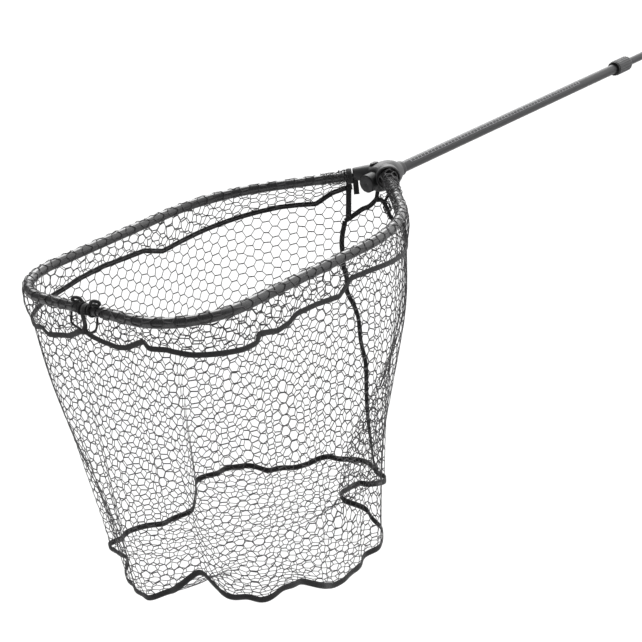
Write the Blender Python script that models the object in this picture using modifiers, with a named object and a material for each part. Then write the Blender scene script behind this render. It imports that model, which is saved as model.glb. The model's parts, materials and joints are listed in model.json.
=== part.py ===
"""Landing net: a knotless net bag on a rounded hoop, whose telescopic handle slides through the net head.

Metres, +Z up. The handle lies on the X axis with the butt at +X and the hoop at -X. The origin is the
centre of the hand grip. Pieces on the left of the handle are at +Y.
"""
import math

import bmesh
import bpy
from mathutils import Matrix, Vector

# Clearances
SEAT_GAP = 0.0003
SLIDE_GAP = 0.0003
LAYER_GAP = 0.0006
WELD = 0.00001
FLAT_ANGLE = math.radians(1)

# Handle
GRIP_LENGTH = 0.170
GRIP_WALL = 0.00775
GRIP_SWELL = 0.0015
BUTT_LENGTH = 0.024
BUTT_OVERHANG = 0.002
BUTT_PLUG_LENGTH = 0.025
TUBE_WALL = 0.001
TELESCOPE_GAP = 0.00125
REAR_TUBE_HIDDEN = 0.620
GUIDE_BUSH_LENGTH = 0.022
FRONT_TUBE_RADIUS = 0.010
BARE_REAR_TUBE = 0.098
BARE_FRONT_TUBE = 0.719
STOP_CAP_WALL = 0.006
STOP_CAP_LENGTH = 0.023
STOP_CAP_RECESS = 0.012
STOP_CAP_CHAMFER = 0.0012

# Twist lock
COLLAR_LENGTH = 0.050
COLLAR_WALL = 0.003
COLLAR_GAP = 0.0004
COLLAR_LIP = 0.005
COLLAR_CHAMFER = 0.006
COLLAR_RIBS = 20
RIB_DEPTH = 0.0009
FERRULE_LENGTH = 0.022
FERRULE_WALL = 0.0018
SEAL_LENGTH = 0.004
SEAL_WALL = 0.0042
COLLET_TAPER = 0.002

# Net head
HUB_LENGTH = 0.075
HUB_WALL = 0.0139
HUB_REAR_WALL = 0.0049
HUB_FRONT_WALL = 0.0086
HUB_SLEEVE = 0.012
HUB_SHOULDER = 0.036
HUB_NOSE = 0.010
BUSH_WALL = 0.0016
FRONT_BUSH_LENGTH = 0.012
REAR_BUSH_LENGTH = 0.018
NECK_LENGTH = 0.033
NECK_ROOT = 0.030
NECK_ROOT_RADIUS = 0.020
NECK_END_RADIUS = 0.0125
SOCKET_LENGTH = 0.020
SOCKET_RADIUS = 0.022
SOCKET_WALL = 0.0045
SOCKET_DEPTH = 0.016
SCREW_RADIUS = 0.0014
SCREW_HEAD_RADIUS = 0.0026
SCREW_HEAD_HEIGHT = 0.0022
SCREW_HEAD_DEPTH = 0.008
SCREW_TOP = 0.0105
REAR_SCREW_SETBACK = 0.026
REAR_SCREW_MARGIN = 0.0044
FRONT_SCREW_SETBACK = 0.031
FRONT_SCREW_MARGIN = 0.0046

# Release button with the brake under the handle
BUTTON_SETBACK = 0.056
BUTTON_MARGIN = 0.0035
BUTTON_LENGTH = 0.016
BUTTON_WIDTH = 0.009
BUTTON_RISE = 0.0005
BUTTON_HEIGHT = 0.008
BUTTON_TRAVEL = 0.003
BUTTON_ROUND = 0.0012
POST_RADIUS = 0.0025
BRAKE_LENGTH = 0.010
BRAKE_HALF_WIDTH = 0.005
BRAKE_ARM_DROP = 0.0006
BRAKE_ARM_THICKNESS = 0.0022
POCKET_WALL = 0.0028
SPRING_WIRE = 0.0004
SPRING_RADIUS = 0.0022
SPRING_TURNS = 4
SPRING_TURN_POINTS = 10

# Hoop
HOOP_RISE = 0.007
HOOP_LENGTH = 0.735
HOOP_SHOULDER = 0.258
HOOP_REAR_HALF_WIDTH = 0.226
HOOP_FRONT_HALF_WIDTH = 0.215
HOOP_SHOULDER_ROUND = 0.250
HOOP_CORNER_ROUND = 0.115
ARM_ROOT_SETBACK = 0.061
ARM_ROOT_OFFSET = 0.018
ARM_RADIUS = 0.006
ARM_WALL = 0.0012
ARM_END_GAP = 0.0006
JOINER_LENGTH = 0.050
JOINER_WALL = 0.0010
JOINER_SCREW_SPREAD = 0.0195
SLEEVE_WALL = 0.0012
SLEEVE_SETBACK = 0.013

# Net bag
BAG_DEPTH = 0.485
BAG_SAG = 0.022
NET_THICKNESS = 0.002
BAG_REAR_SETBACK = 0.062
BAG_REAR_HALF_WIDTH = 0.046
BAG_REAR_ROUND = 0.038
FLOOR_REAR_SETBACK = 0.203
FLOOR_REAR_HALF_WIDTH = 0.110
FLOOR_SHOULDER = 0.310
FLOOR_HALF_WIDTH = 0.205
FLOOR_LENGTH = 0.703
FLOOR_REAR_ROUND = 0.060
FLOOR_SHOULDER_ROUND = 0.120
FLOOR_CORNER_ROUND = 0.100
NOTCH_LEFT = 0.062
NOTCH_RIGHT = -0.060
NOTCH_LEFT_DROP = 0.078
NOTCH_RIGHT_DROP = 0.028
FRONT_NOTCH_HALF_WIDTH = 0.0265
FRONT_NOTCH_DROP = 0.029

# Tapes, straps and ties
TAPE_WIDTH = 0.009
TAPE_THICKNESS = 0.001
RIM_TAPE_DROP = 0.050
STRAP_WIDTH = 0.010
STRAP_THICKNESS = 0.0014
STRAP_TAIL_LENGTH = 0.030
FRONT_TAPE_DROP = 0.036
TIE_CORD_RADIUS = 0.0012
TIE_SPREAD = 0.0115
EDGE_STRAP_END = -0.104

# Fineness of the meshes
ROUND_STEPS = 32
SMALL_STEPS = 16
TUBE_BEVEL_RESOLUTION = 4
ARC_STEPS = 7
HALF_COLUMNS = 36
COLUMN_CROWDING = 1.3
WALL_ROWS = 8
FLOOR_RINGS = 4
TAPE_STEPS = 24
SOLVER_STEPS = 40

# Places along the handle
GRIP_FRONT = -GRIP_LENGTH / 2
GRIP_REAR = GRIP_LENGTH / 2
COLLAR_REAR = GRIP_FRONT - BARE_REAR_TUBE
COLLAR_FRONT = COLLAR_REAR - COLLAR_LENGTH
SEAL_FRONT = COLLAR_FRONT - SEAT_GAP - SEAL_LENGTH
FERRULE_FRONT = COLLAR_FRONT + SEAT_GAP
FRONT_TUBE_REAR = FERRULE_FRONT + FERRULE_LENGTH
REAR_TUBE_FRONT = FRONT_TUBE_REAR - REAR_TUBE_HIDDEN
HUB_REAR = COLLAR_FRONT - BARE_FRONT_TUBE
HUB_FRONT = HUB_REAR - HUB_LENGTH
CAP_REAR = HUB_FRONT - SEAT_GAP
CAP_FRONT = CAP_REAR - STOP_CAP_LENGTH
FRONT_TUBE_FRONT = CAP_REAR - STOP_CAP_RECESS + SEAT_GAP
TIP = HUB_REAR - HOOP_LENGTH

# Sizes that follow from the ones above
FRONT_TUBE_BORE = FRONT_TUBE_RADIUS - TUBE_WALL
REAR_TUBE_RADIUS = FRONT_TUBE_BORE - TELESCOPE_GAP
REAR_TUBE_BORE = REAR_TUBE_RADIUS - TUBE_WALL
GRIP_RADIUS = REAR_TUBE_RADIUS + GRIP_WALL
BUTT_RADIUS = GRIP_RADIUS + BUTT_OVERHANG
STOP_CAP_RADIUS = FRONT_TUBE_RADIUS + STOP_CAP_WALL
FERRULE_RADIUS = FRONT_TUBE_RADIUS + SEAT_GAP + FERRULE_WALL
COLLAR_BORE = FERRULE_RADIUS + COLLAR_GAP
COLLAR_RADIUS = COLLAR_BORE + COLLAR_WALL
BUSH_BORE = FRONT_TUBE_RADIUS + SLIDE_GAP
BUSH_RADIUS = BUSH_BORE + BUSH_WALL
HUB_BORE = BUSH_BORE + BUSH_WALL / 2
HUB_RADIUS = HUB_BORE + HUB_WALL
HUB_REAR_RADIUS = BUSH_RADIUS + HUB_REAR_WALL
HUB_FRONT_RADIUS = BUSH_RADIUS + HUB_FRONT_WALL
REAR_SCREW_SPREAD = HUB_BORE + REAR_SCREW_MARGIN
FRONT_SCREW_SPREAD = BUSH_RADIUS + FRONT_SCREW_MARGIN
BUTTON_OFFSET = HUB_BORE + BUTTON_MARGIN
BUTTON_TOP = HUB_RADIUS + BUTTON_RISE
BUTTON_BASE = BUTTON_TOP - BUTTON_HEIGHT
BRAKE_ARM_TOP = -FRONT_TUBE_RADIUS - BRAKE_ARM_DROP
BRAKE_ARM_BOTTOM = BRAKE_ARM_TOP - BRAKE_ARM_THICKNESS
POCKET_FLOOR = POCKET_WALL - HUB_RADIUS
SLEEVE_RADIUS = ARM_RADIUS + SEAT_GAP + SLEEVE_WALL
JOINER_RADIUS = ARM_RADIUS + SEAT_GAP + JOINER_WALL
NET_TOP = HOOP_RISE - SLEEVE_RADIUS - SEAT_GAP
TAPE_LAYER = NET_THICKNESS / 2 + LAYER_GAP + TAPE_THICKNESS / 2
STRAP_LAYER = TAPE_LAYER + TAPE_THICKNESS / 2 + LAYER_GAP + STRAP_THICKNESS / 2
BUTTON_X = HUB_REAR - BUTTON_SETBACK
LEFT = 1
RIGHT = -1

HANDLE_AXIS = Matrix.Rotation(math.pi / 2, 4, "Y")
PARTS = None
CUTTERS = None
MATERIALS = {}


def start():
    """Empty the scene and make the collections and the materials."""
    global PARTS, CUTTERS
    for old in list(bpy.data.objects):
        bpy.data.objects.remove(old, do_unlink=True)
    PARTS = bpy.data.collections.new("landing_net")
    CUTTERS = bpy.data.collections.new("cutters")
    for collection in (PARTS, CUTTERS):
        bpy.context.scene.collection.children.link(collection)
    finishes = {
        "anodised": ((0.085, 0.085, 0.09), 0.42, 0.8),
        "moulded": ((0.10, 0.10, 0.105), 0.55, 0.0),
        "black_plastic": ((0.012, 0.012, 0.013), 0.45, 0.0),
        "foam": ((0.02, 0.02, 0.021), 0.9, 0.0),
        "steel": ((0.55, 0.55, 0.56), 0.3, 1.0),
        "nylon": ((0.7, 0.69, 0.66), 0.5, 0.0),
        "rubber_net": ((0.05, 0.048, 0.05), 0.6, 0.0),
        "webbing": ((0.012, 0.012, 0.013), 0.85, 0.0),
    }
    for name, (colour, roughness, metallic) in finishes.items():
        material = bpy.data.materials.new(name)
        material.use_nodes = True
        shader = material.node_tree.nodes["Principled BSDF"]
        shader.inputs["Base Color"].default_value = (*colour, 1)
        shader.inputs["Roughness"].default_value = roughness
        shader.inputs["Metallic"].default_value = metallic
        MATERIALS[name] = material


def new_object(name, data, frame=None):
    """Link a new object of this data into the parts' collection."""
    obj = bpy.data.objects.new(name, data)
    obj.matrix_world = frame or Matrix.Identity(4)
    PARTS.objects.link(obj)
    return obj


def baked(obj):
    """Replace an object by its evaluated mesh, welded and with its faces pointing out."""
    bpy.context.view_layer.update()
    graph = bpy.context.evaluated_depsgraph_get()
    mesh = bpy.data.meshes.new_from_object(obj.evaluated_get(graph))
    form = bmesh.new()
    form.from_mesh(mesh)
    bmesh.ops.remove_doubles(form, verts=form.verts, dist=WELD)
    bmesh.ops.recalc_face_normals(form, faces=form.faces)
    form.to_mesh(mesh)
    form.free()
    name = obj.name
    frame = obj.matrix_world.copy()
    bpy.data.objects.remove(obj)
    return new_object(name, mesh, frame)


def finished(obj, material):
    """Give a part its material and smooth shading."""
    obj.data.materials.clear()
    obj.data.materials.append(MATERIALS[material])
    obj.data.shade_smooth()
    obj.data.set_sharp_from_angle(angle=math.radians(35))
    return obj


def as_cutter(obj):
    """Keep an object only as a tool for the parts."""
    PARTS.objects.unlink(obj)
    CUTTERS.objects.link(obj)
    obj.hide_render = True
    obj.display_type = "WIRE"
    return obj


def combined(obj, tool, operation):
    """Join a part with a tool, or cut it with the tool."""
    modifier = obj.modifiers.new(operation.title(), "BOOLEAN")
    modifier.operation = operation
    modifier.object = tool
    return baked(obj)


def axis_frame(point, direction):
    """A frame at a point, with its Z along a direction."""
    turn = Vector(direction).to_track_quat("Z", "Y").to_matrix().to_4x4()
    return Matrix.Translation(point) @ turn


def turned(name, profile, frame=HANDLE_AXIS, closed=True, steps=ROUND_STEPS):
    """Turn (place, radius) points about the frame's Z axis; an open profile starts and ends on the axis."""
    mesh = bpy.data.meshes.new(name)
    edges = [(i, i + 1) for i in range(len(profile) - 1)]
    if closed:
        edges.append((len(profile) - 1, 0))
    mesh.from_pydata([(radius, 0, place) for place, radius in profile], edges, [])
    obj = new_object(name, mesh, frame)
    screw = obj.modifiers.new("Turn", "SCREW")
    screw.steps = steps
    screw.render_steps = steps
    screw.use_merge_vertices = True
    screw.merge_threshold = WELD
    return baked(obj)


def ring(name, low, high, inner, outer, frame=HANDLE_AXIS, steps=ROUND_STEPS):
    """A plain sleeve between two places along an axis."""
    profile = [(high, outer), (low, outer), (low, inner), (high, inner)]
    return turned(name, profile, frame, steps=steps)


def rod(name, low, high, radius, frame=HANDLE_AXIS, steps=ROUND_STEPS):
    """A plain cylinder between two places along an axis."""
    profile = [(high, 0), (high, radius), (low, radius), (low, 0)]
    return turned(name, profile, frame, closed=False, steps=steps)


def block(name, low, high):
    """A box between two corners."""
    low = Vector(low)
    high = Vector(high)
    mesh = bpy.data.meshes.new(name)
    form = bmesh.new()
    size = Matrix.Diagonal((*(high - low), 1))
    bmesh.ops.create_cube(form, size=1, matrix=Matrix.Translation((low + high) / 2) @ size)
    form.to_mesh(mesh)
    form.free()
    return new_object(name, mesh)


def prism(name, outline, half_depth, frame):
    """A flat outline in the frame's XY plane, thick along its Z."""
    curve = bpy.data.curves.new(name, "CURVE")
    curve.dimensions = "2D"
    curve.fill_mode = "BOTH"
    curve.extrude = half_depth
    spline = curve.splines.new("POLY")
    spline.points.add(len(outline) - 1)
    for point, (across, up) in zip(spline.points, outline):
        point.co = (across, up, 0, 1)
    spline.use_cyclic_u = True
    solid = baked(new_object(name, curve, frame))
    form = bmesh.new()
    form.from_mesh(solid.data)
    bmesh.ops.dissolve_limit(form, angle_limit=FLAT_ANGLE, verts=form.verts, edges=form.edges)
    form.to_mesh(solid.data)
    form.free()
    return solid


def swept(name, points, radius, wall=0, resolution=TUBE_BEVEL_RESOLUTION):
    """A round rod along a run of points, or a tube where it has a wall."""
    curve = bpy.data.curves.new(name, "CURVE")
    curve.dimensions = "3D"
    curve.bevel_depth = radius
    curve.bevel_resolution = resolution
    curve.use_fill_caps = wall == 0
    spline = curve.splines.new("POLY")
    spline.points.add(len(points) - 1)
    for point, place in zip(spline.points, points):
        point.co = (*place, 1)
    obj = baked(new_object(name, curve))
    if wall:
        thicken(obj, wall, -1)
        obj = baked(obj)
    return obj


def thicken(obj, thickness, offset=0):
    """Give an open surface a thickness."""
    solidify = obj.modifiers.new("Thickness", "SOLIDIFY")
    solidify.thickness = thickness
    solidify.offset = offset
    return obj


def loft(name, rows, thickness, closed=False, filled=False):
    """A sheet through rows of points, closed round each row and filled in the last one if asked."""
    form = bmesh.new()
    grid = [[form.verts.new(point) for point in row] for row in rows]
    count = len(rows[0])
    columns = count if closed else count - 1
    for upper, lower in zip(grid, grid[1:]):
        for i in range(columns):
            j = (i + 1) % count
            form.faces.new((upper[i], upper[j], lower[j], lower[i]))
    if filled:
        form.faces.new(grid[-1])
    bmesh.ops.recalc_face_normals(form, faces=form.faces)
    mesh = bpy.data.meshes.new(name)
    form.to_mesh(mesh)
    form.free()
    return baked(thicken(new_object(name, mesh), thickness))


def rounded(corners, radii):
    """A run of points through corners, with an arc of the given radius at each inner one."""
    corners = [Vector(corner) for corner in corners]
    run = [corners[0]]
    for before, corner, after, radius in zip(corners, corners[1:], corners[2:], radii):
        into = (corner - before).normalized()
        out = (after - corner).normalized()
        turn = into.angle(out)
        start = corner - into * radius * math.tan(turn / 2)
        inward = (out - into * out.dot(into)).normalized()
        centre = start + inward * radius
        for step in range(ARC_STEPS + 1):
            angle = turn * step / ARC_STEPS
            run.append(centre - inward * radius * math.cos(angle) + into * radius * math.sin(angle))
    run.append(corners[-1])
    return run


def along(run, share):
    """The point at a share of a run's length."""
    lengths = [(b - a).length for a, b in zip(run, run[1:])]
    left = share * sum(lengths)
    for a, b, length in zip(run, run[1:], lengths):
        if left <= length:
            return a.lerp(b, left / length)
        left -= length
    return run[-1].copy()


def hoop_corners(side):
    """The hoop's centre line on one side in plan, from the head to the tip."""
    root = (HUB_REAR - ARM_ROOT_SETBACK, side * ARM_ROOT_OFFSET)
    shoulder = (HUB_REAR - HOOP_SHOULDER, side * HOOP_REAR_HALF_WIDTH)
    corner = (TIP, side * HOOP_FRONT_HALF_WIDTH)
    return [root, shoulder, corner, (TIP, side * ARM_END_GAP / 2)]


def arm_direction(side):
    """The direction in which an arm leaves the head, in plan."""
    root, shoulder = (Vector(corner) for corner in hoop_corners(side)[:2])
    return (shoulder - root).normalized()


def arm_place(side, distance):
    """A point on an arm's straight root, at a distance from its inner end."""
    place = Vector(hoop_corners(side)[0]) + arm_direction(side) * distance
    return Vector((*place, HOOP_RISE))


def arm_frame(side, distance):
    """A frame on an arm's straight root, with its Z along the arm."""
    return axis_frame(arm_place(side, distance), (*arm_direction(side), 0))


def neck_radius(distance):
    """The head's neck radius at a distance along the left arm."""
    share = (distance + NECK_ROOT) / (NECK_LENGTH + NECK_ROOT)
    return NECK_ROOT_RADIUS + (NECK_END_RADIUS - NECK_ROOT_RADIUS) * share


def bag_runs():
    """The bag's left half outline in plan, at the hoop and at the floor, from the rear to the tip."""
    hoop = hoop_corners(LEFT)
    rear = HUB_REAR - BAG_REAR_SETBACK
    top = [(rear, 0), (rear, BAG_REAR_HALF_WIDTH), hoop[1], hoop[2], (TIP, 0)]
    top_radii = [BAG_REAR_ROUND, HOOP_SHOULDER_ROUND, HOOP_CORNER_ROUND]
    floor_rear = HUB_REAR - FLOOR_REAR_SETBACK
    floor_tip = HUB_REAR - FLOOR_LENGTH
    floor = [
        (floor_rear, 0),
        (floor_rear, FLOOR_REAR_HALF_WIDTH),
        (HUB_REAR - FLOOR_SHOULDER, FLOOR_HALF_WIDTH),
        (floor_tip, FLOOR_HALF_WIDTH),
        (floor_tip, 0),
    ]
    floor_radii = [FLOOR_REAR_ROUND, FLOOR_SHOULDER_ROUND, FLOOR_CORNER_ROUND]
    return rounded(top, top_radii), rounded(floor, floor_radii)


TOP_RUN, FLOOR_RUN = bag_runs()
COLUMN_SHARES = [(i / HALF_COLUMNS) ** COLUMN_CROWDING for i in range(HALF_COLUMNS + 1)]
TOP_COLUMNS = [along(TOP_RUN, share) for share in COLUMN_SHARES]
FLOOR_COLUMNS = [along(FLOOR_RUN, share) for share in COLUMN_SHARES]


def wall_column(index, drop):
    """A point of the bag's left half on one column, at a drop below the hoop."""
    return TOP_COLUMNS[index].lerp(FLOOR_COLUMNS[index], drop / BAG_DEPTH)


def wall_point(share, drop, layer=0):
    """A point of the bag's wall, from the rear at 0 to the tip at 1 on the left and -1 on the right."""
    place = abs(share) * HALF_COLUMNS
    index = min(int(place), HALF_COLUMNS - 1)
    near = wall_column(index, drop)
    far = wall_column(index + 1, drop)
    point = Vector((*near.lerp(far, place - index), NET_TOP - drop))
    if share < 0:
        point.y = -point.y
    return point + wall_outward(share, drop) * layer


def column_outward(index, drop):
    """The direction square to the bag's left half on one column."""
    before = wall_column(max(index - 1, 0), drop)
    after = wall_column(min(index + 1, HALF_COLUMNS), drop)
    if index == 0:
        before = Vector((after.x, -after.y))
    if index == HALF_COLUMNS:
        after = Vector((before.x, -before.y))
    run = Vector((*(after - before), 0))
    fall = Vector((*(FLOOR_COLUMNS[index] - TOP_COLUMNS[index]), -BAG_DEPTH))
    return fall.cross(run).normalized()


def wall_outward(share, drop):
    """The direction square to the bag's wall."""
    place = abs(share) * HALF_COLUMNS
    index = min(int(place), HALF_COLUMNS - 1)
    near = column_outward(index, drop)
    outward = near.lerp(column_outward(index + 1, drop), place - index).normalized()
    if share < 0:
        outward.y = -outward.y
    return outward


def solved(reading, target, low, high):
    """The value, from low to high, at which a rising reading reaches a target."""
    for _ in range(SOLVER_STEPS):
        middle = (low + high) / 2
        if reading(middle) < target:
            low = middle
        else:
            high = middle
    return high


def wall_share(across, drop):
    """The share of the rear wall that lies at a place across the handle."""
    share = solved(lambda part: wall_point(part, drop).y, abs(across), 0, 0.5)
    return math.copysign(share, across)


def loop_shares():
    """The shares of the wall's columns once round the bag."""
    left = [i / HALF_COLUMNS for i in range(HALF_COLUMNS + 1)]
    right = [-i / HALF_COLUMNS for i in range(HALF_COLUMNS - 1, 0, -1)]
    return left + right


def band(name, path, width, thickness, layer):
    """A flat tape along (share, drop) places of the bag's wall, on one layer outside it."""
    centres = [wall_point(share, drop, layer) for share, drop in path]
    upper = []
    lower = []
    for i, (centre, (share, drop)) in enumerate(zip(centres, path)):
        run = centres[min(i + 1, len(path) - 1)] - centres[max(i - 1, 0)]
        across = run.cross(wall_outward(share, drop)).normalized() * width / 2
        upper.append(centre + across)
        lower.append(centre - across)
    return finished(loft(name, [upper, lower], thickness), "webbing")


def straight_path(start, end):
    """(share, drop) places on a straight line between two (across, drop) places of the rear wall.

    The path has a point on each of the wall's columns that it crosses, and even steps between them.
    """
    def place(part):
        across, drop = (a + (b - a) * part for a, b in zip(start, end))
        return wall_share(across, drop), drop

    def share_at(part):
        return place(part)[0]

    low, high = sorted((0, 1), key=share_at)
    crossed = [share for share in sorted(loop_shares()) if share_at(low) < share < share_at(high)]
    parts = [low, *(solved(share_at, share, low, high) for share in crossed), high]
    path = [place(low)]
    for near, far in zip(parts, parts[1:]):
        steps = math.ceil(abs(far - near) * TAPE_STEPS)
        path += [place(near + (far - near) * step / steps) for step in range(1, steps + 1)]
    return path if low == 0 else path[::-1]


def handle_rear():
    """The rear tube with its grip, butt cap and guide bush."""
    tube = ring("rear_tube", REAR_TUBE_FRONT, GRIP_REAR, REAR_TUBE_BORE, REAR_TUBE_RADIUS)
    finished(tube, "anodised")
    bore = REAR_TUBE_RADIUS + SEAT_GAP
    quarter = GRIP_LENGTH / 4
    profile = [
        (GRIP_REAR, GRIP_RADIUS),
        (GRIP_REAR - quarter, GRIP_RADIUS),
        (0, GRIP_RADIUS + GRIP_SWELL),
        (GRIP_FRONT + quarter, GRIP_RADIUS),
        (GRIP_FRONT + GRIP_SWELL, GRIP_RADIUS),
        (GRIP_FRONT, GRIP_RADIUS - GRIP_SWELL),
        (GRIP_FRONT, bore),
        (GRIP_REAR, bore),
    ]
    finished(turned("grip_sleeve", profile), "foam")
    start_x = GRIP_REAR + SEAT_GAP
    end_x = start_x + BUTT_LENGTH
    plug = REAR_TUBE_BORE - SEAT_GAP
    round_off = BUTT_RADIUS / 5
    profile = [
        (end_x, 0),
        (end_x, BUTT_RADIUS - round_off),
        (end_x - round_off, BUTT_RADIUS),
        (start_x, BUTT_RADIUS),
        (start_x, plug),
        (start_x - BUTT_PLUG_LENGTH, plug),
        (start_x - BUTT_PLUG_LENGTH, 0),
    ]
    finished(turned("butt_cap", profile, closed=False), "black_plastic")
    end_x = REAR_TUBE_FRONT + GUIDE_BUSH_LENGTH
    bush = ring("guide_bush", REAR_TUBE_FRONT, end_x, bore, FRONT_TUBE_BORE - SLIDE_GAP)
    finished(bush, "nylon")


def handle_front():
    """The front tube with its stop cap and the fixed pieces of the twist lock."""
    tube = ring("front_tube", FRONT_TUBE_FRONT, FRONT_TUBE_REAR, FRONT_TUBE_BORE, FRONT_TUBE_RADIUS)
    finished(tube, "anodised")
    seat = FRONT_TUBE_RADIUS + SEAT_GAP
    floor = CAP_REAR - STOP_CAP_RECESS
    edge = STOP_CAP_RADIUS - STOP_CAP_CHAMFER
    profile = [
        (floor, 0),
        (floor, seat),
        (CAP_REAR, seat),
        (CAP_REAR, edge),
        (CAP_REAR - STOP_CAP_CHAMFER, STOP_CAP_RADIUS),
        (CAP_FRONT + STOP_CAP_CHAMFER, STOP_CAP_RADIUS),
        (CAP_FRONT, edge),
        (CAP_FRONT, 0),
    ]
    finished(turned("stop_cap", profile, closed=False), "moulded")
    finished(ring("ferrule", FERRULE_FRONT, FRONT_TUBE_REAR, seat, FERRULE_RADIUS), "black_plastic")
    collet_front = FRONT_TUBE_REAR + SEAT_GAP
    collet_rear = COLLAR_REAR - COLLAR_LIP - SEAT_GAP
    grip = REAR_TUBE_RADIUS + SLIDE_GAP
    profile = [
        (collet_rear, FERRULE_RADIUS - COLLET_TAPER),
        (collet_front, FERRULE_RADIUS),
        (collet_front, grip),
        (collet_rear, grip),
    ]
    finished(turned("collet", profile), "nylon")
    seal = ring("seal_ring", SEAL_FRONT, SEAL_FRONT + SEAL_LENGTH, seat, seat + SEAL_WALL)
    finished(seal, "black_plastic")


def lock_collar():
    """The ribbed collar that turns on the ferrule."""
    lip = REAR_TUBE_RADIUS + 2 * SLIDE_GAP
    inside = COLLAR_REAR - COLLAR_LIP
    profile = [
        (COLLAR_REAR, COLLAR_RADIUS - COLLAR_WALL),
        (COLLAR_REAR - COLLAR_CHAMFER, COLLAR_RADIUS),
        (COLLAR_FRONT, COLLAR_RADIUS),
        (COLLAR_FRONT, COLLAR_BORE),
        (inside, COLLAR_BORE),
        (inside, lip),
        (COLLAR_REAR, lip),
    ]
    collar = turned("lock_collar", profile, steps=2 * COLLAR_RIBS)
    for vertex in collar.data.vertices:
        angle = math.atan2(vertex.co.y, vertex.co.x)
        column = round(angle / math.pi * COLLAR_RIBS)
        radius = math.hypot(vertex.co.x, vertex.co.y)
        if column % 2 and radius > COLLAR_RADIUS - WELD:
            shrink = 1 - RIB_DEPTH / radius
            vertex.co.x *= shrink
            vertex.co.y *= shrink
    finished(collar, "moulded")


def button_outline(margin):
    """The release button's oval in plan, with a margin round it."""
    half = (BUTTON_LENGTH - BUTTON_WIDTH) / 2
    radius = BUTTON_WIDTH / 2 + margin
    points = []
    for step in range(SMALL_STEPS):
        angle = 2 * math.pi * (step + 0.5) / SMALL_STEPS
        shift = math.copysign(half, math.cos(angle))
        points.append((shift + radius * math.cos(angle), radius * math.sin(angle)))
    return points


def hub_tools():
    """The solids that add to the head's barrel, and those that cut it."""
    adds = []
    cuts = []
    neck = [
        (NECK_LENGTH, 0),
        (NECK_LENGTH, NECK_END_RADIUS),
        (-NECK_ROOT, NECK_ROOT_RADIUS),
        (-NECK_ROOT, 0),
    ]
    adds.append(turned("neck_form", neck, arm_frame(LEFT, 0), closed=False))
    adds.append(rod("socket_form", -NECK_ROOT, SOCKET_LENGTH, SOCKET_RADIUS, arm_frame(RIGHT, 0)))
    past = HUB_LENGTH
    cuts.append(rod("handle_bore", HUB_FRONT - past, HUB_REAR + past, HUB_BORE))
    cuts.append(rod("cap_recess", HUB_FRONT - past, HUB_FRONT, STOP_CAP_RADIUS + LAYER_GAP))
    seat = BUSH_RADIUS + SEAT_GAP
    rear = HUB_REAR - REAR_BUSH_LENGTH - SEAT_GAP
    front = HUB_FRONT + FRONT_BUSH_LENGTH + SEAT_GAP
    cuts.append(rod("rear_bush_seat", rear, HUB_REAR + past, seat))
    cuts.append(rod("front_bush_seat", HUB_FRONT - past, front, seat))
    for side, end, name in ((LEFT, NECK_LENGTH, "left"), (RIGHT, SOCKET_LENGTH, "right")):
        frame = arm_frame(side, 0)
        bore = ARM_RADIUS + SEAT_GAP
        cuts.append(rod(name + "_arm_bore", -SEAT_GAP, end + past, bore, frame, SMALL_STEPS))
    mouth = SOCKET_LENGTH - SOCKET_DEPTH
    bell = [
        (SOCKET_LENGTH + past, 0),
        (SOCKET_LENGTH + past, SOCKET_RADIUS - SOCKET_WALL),
        (mouth + SOCKET_WALL, SOCKET_RADIUS - SOCKET_WALL),
        (mouth, SOCKET_RADIUS - 2 * SOCKET_WALL),
        (mouth, 0),
    ]
    cuts.append(turned("socket_mouth", bell, arm_frame(RIGHT, 0), closed=False))
    oval = button_outline(LAYER_GAP)
    low = BUTTON_BASE - BUTTON_TRAVEL - SEAT_GAP
    high = BUTTON_TOP + past
    frame = Matrix.Translation((BUTTON_X, BUTTON_OFFSET, (low + high) / 2))
    cuts.append(prism("button_hole", oval, (high - low) / 2, frame))
    frame = Matrix.Translation((BUTTON_X, BUTTON_OFFSET, 0))
    slot_floor = BRAKE_ARM_BOTTOM - BUTTON_TRAVEL - LAYER_GAP
    bore = POST_RADIUS + LAYER_GAP
    cuts.append(rod("post_hole", slot_floor + SEAT_GAP, low + SEAT_GAP, bore, frame, SMALL_STEPS))
    half = BRAKE_LENGTH / 2 + LAYER_GAP
    corner = (BUTTON_X - half, -BRAKE_HALF_WIDTH - LAYER_GAP)
    far = (BUTTON_X + half, BUTTON_OFFSET + POST_RADIUS + 2 * LAYER_GAP, BRAKE_ARM_TOP + LAYER_GAP)
    cuts.append(block("brake_slot", (*corner, slot_floor), far))
    far = (BUTTON_X + half, BRAKE_HALF_WIDTH + LAYER_GAP, BRAKE_ARM_TOP / 2)
    cuts.append(block("spring_pocket", (*corner, POCKET_FLOOR), far))
    for number, (x, y) in enumerate(screw_places(), 1):
        profile = [
            (SCREW_TOP + SEAT_GAP, 0),
            (SCREW_TOP + SEAT_GAP, SCREW_RADIUS + SEAT_GAP),
            (-SCREW_HEAD_DEPTH + SCREW_HEAD_HEIGHT + SEAT_GAP, SCREW_RADIUS + SEAT_GAP),
            (-SCREW_HEAD_DEPTH + SCREW_HEAD_HEIGHT + SEAT_GAP, SCREW_HEAD_RADIUS + SEAT_GAP),
            (-past, SCREW_HEAD_RADIUS + SEAT_GAP),
            (-past, 0),
        ]
        frame = Matrix.Translation((x, y, 0))
        cuts.append(turned(f"screw_hole_{number}", profile, frame, False, SMALL_STEPS))
    return [as_cutter(tool) for tool in adds], [as_cutter(tool) for tool in cuts]


def screw_places():
    """The cover screws' places in plan."""
    rear = HUB_REAR - REAR_SCREW_SETBACK
    front = HUB_FRONT + FRONT_SCREW_SETBACK
    places = []
    for side in (LEFT, RIGHT):
        places.append((rear, side * REAR_SCREW_SPREAD))
        places.append((front, side * FRONT_SCREW_SPREAD))
    return places


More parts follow.
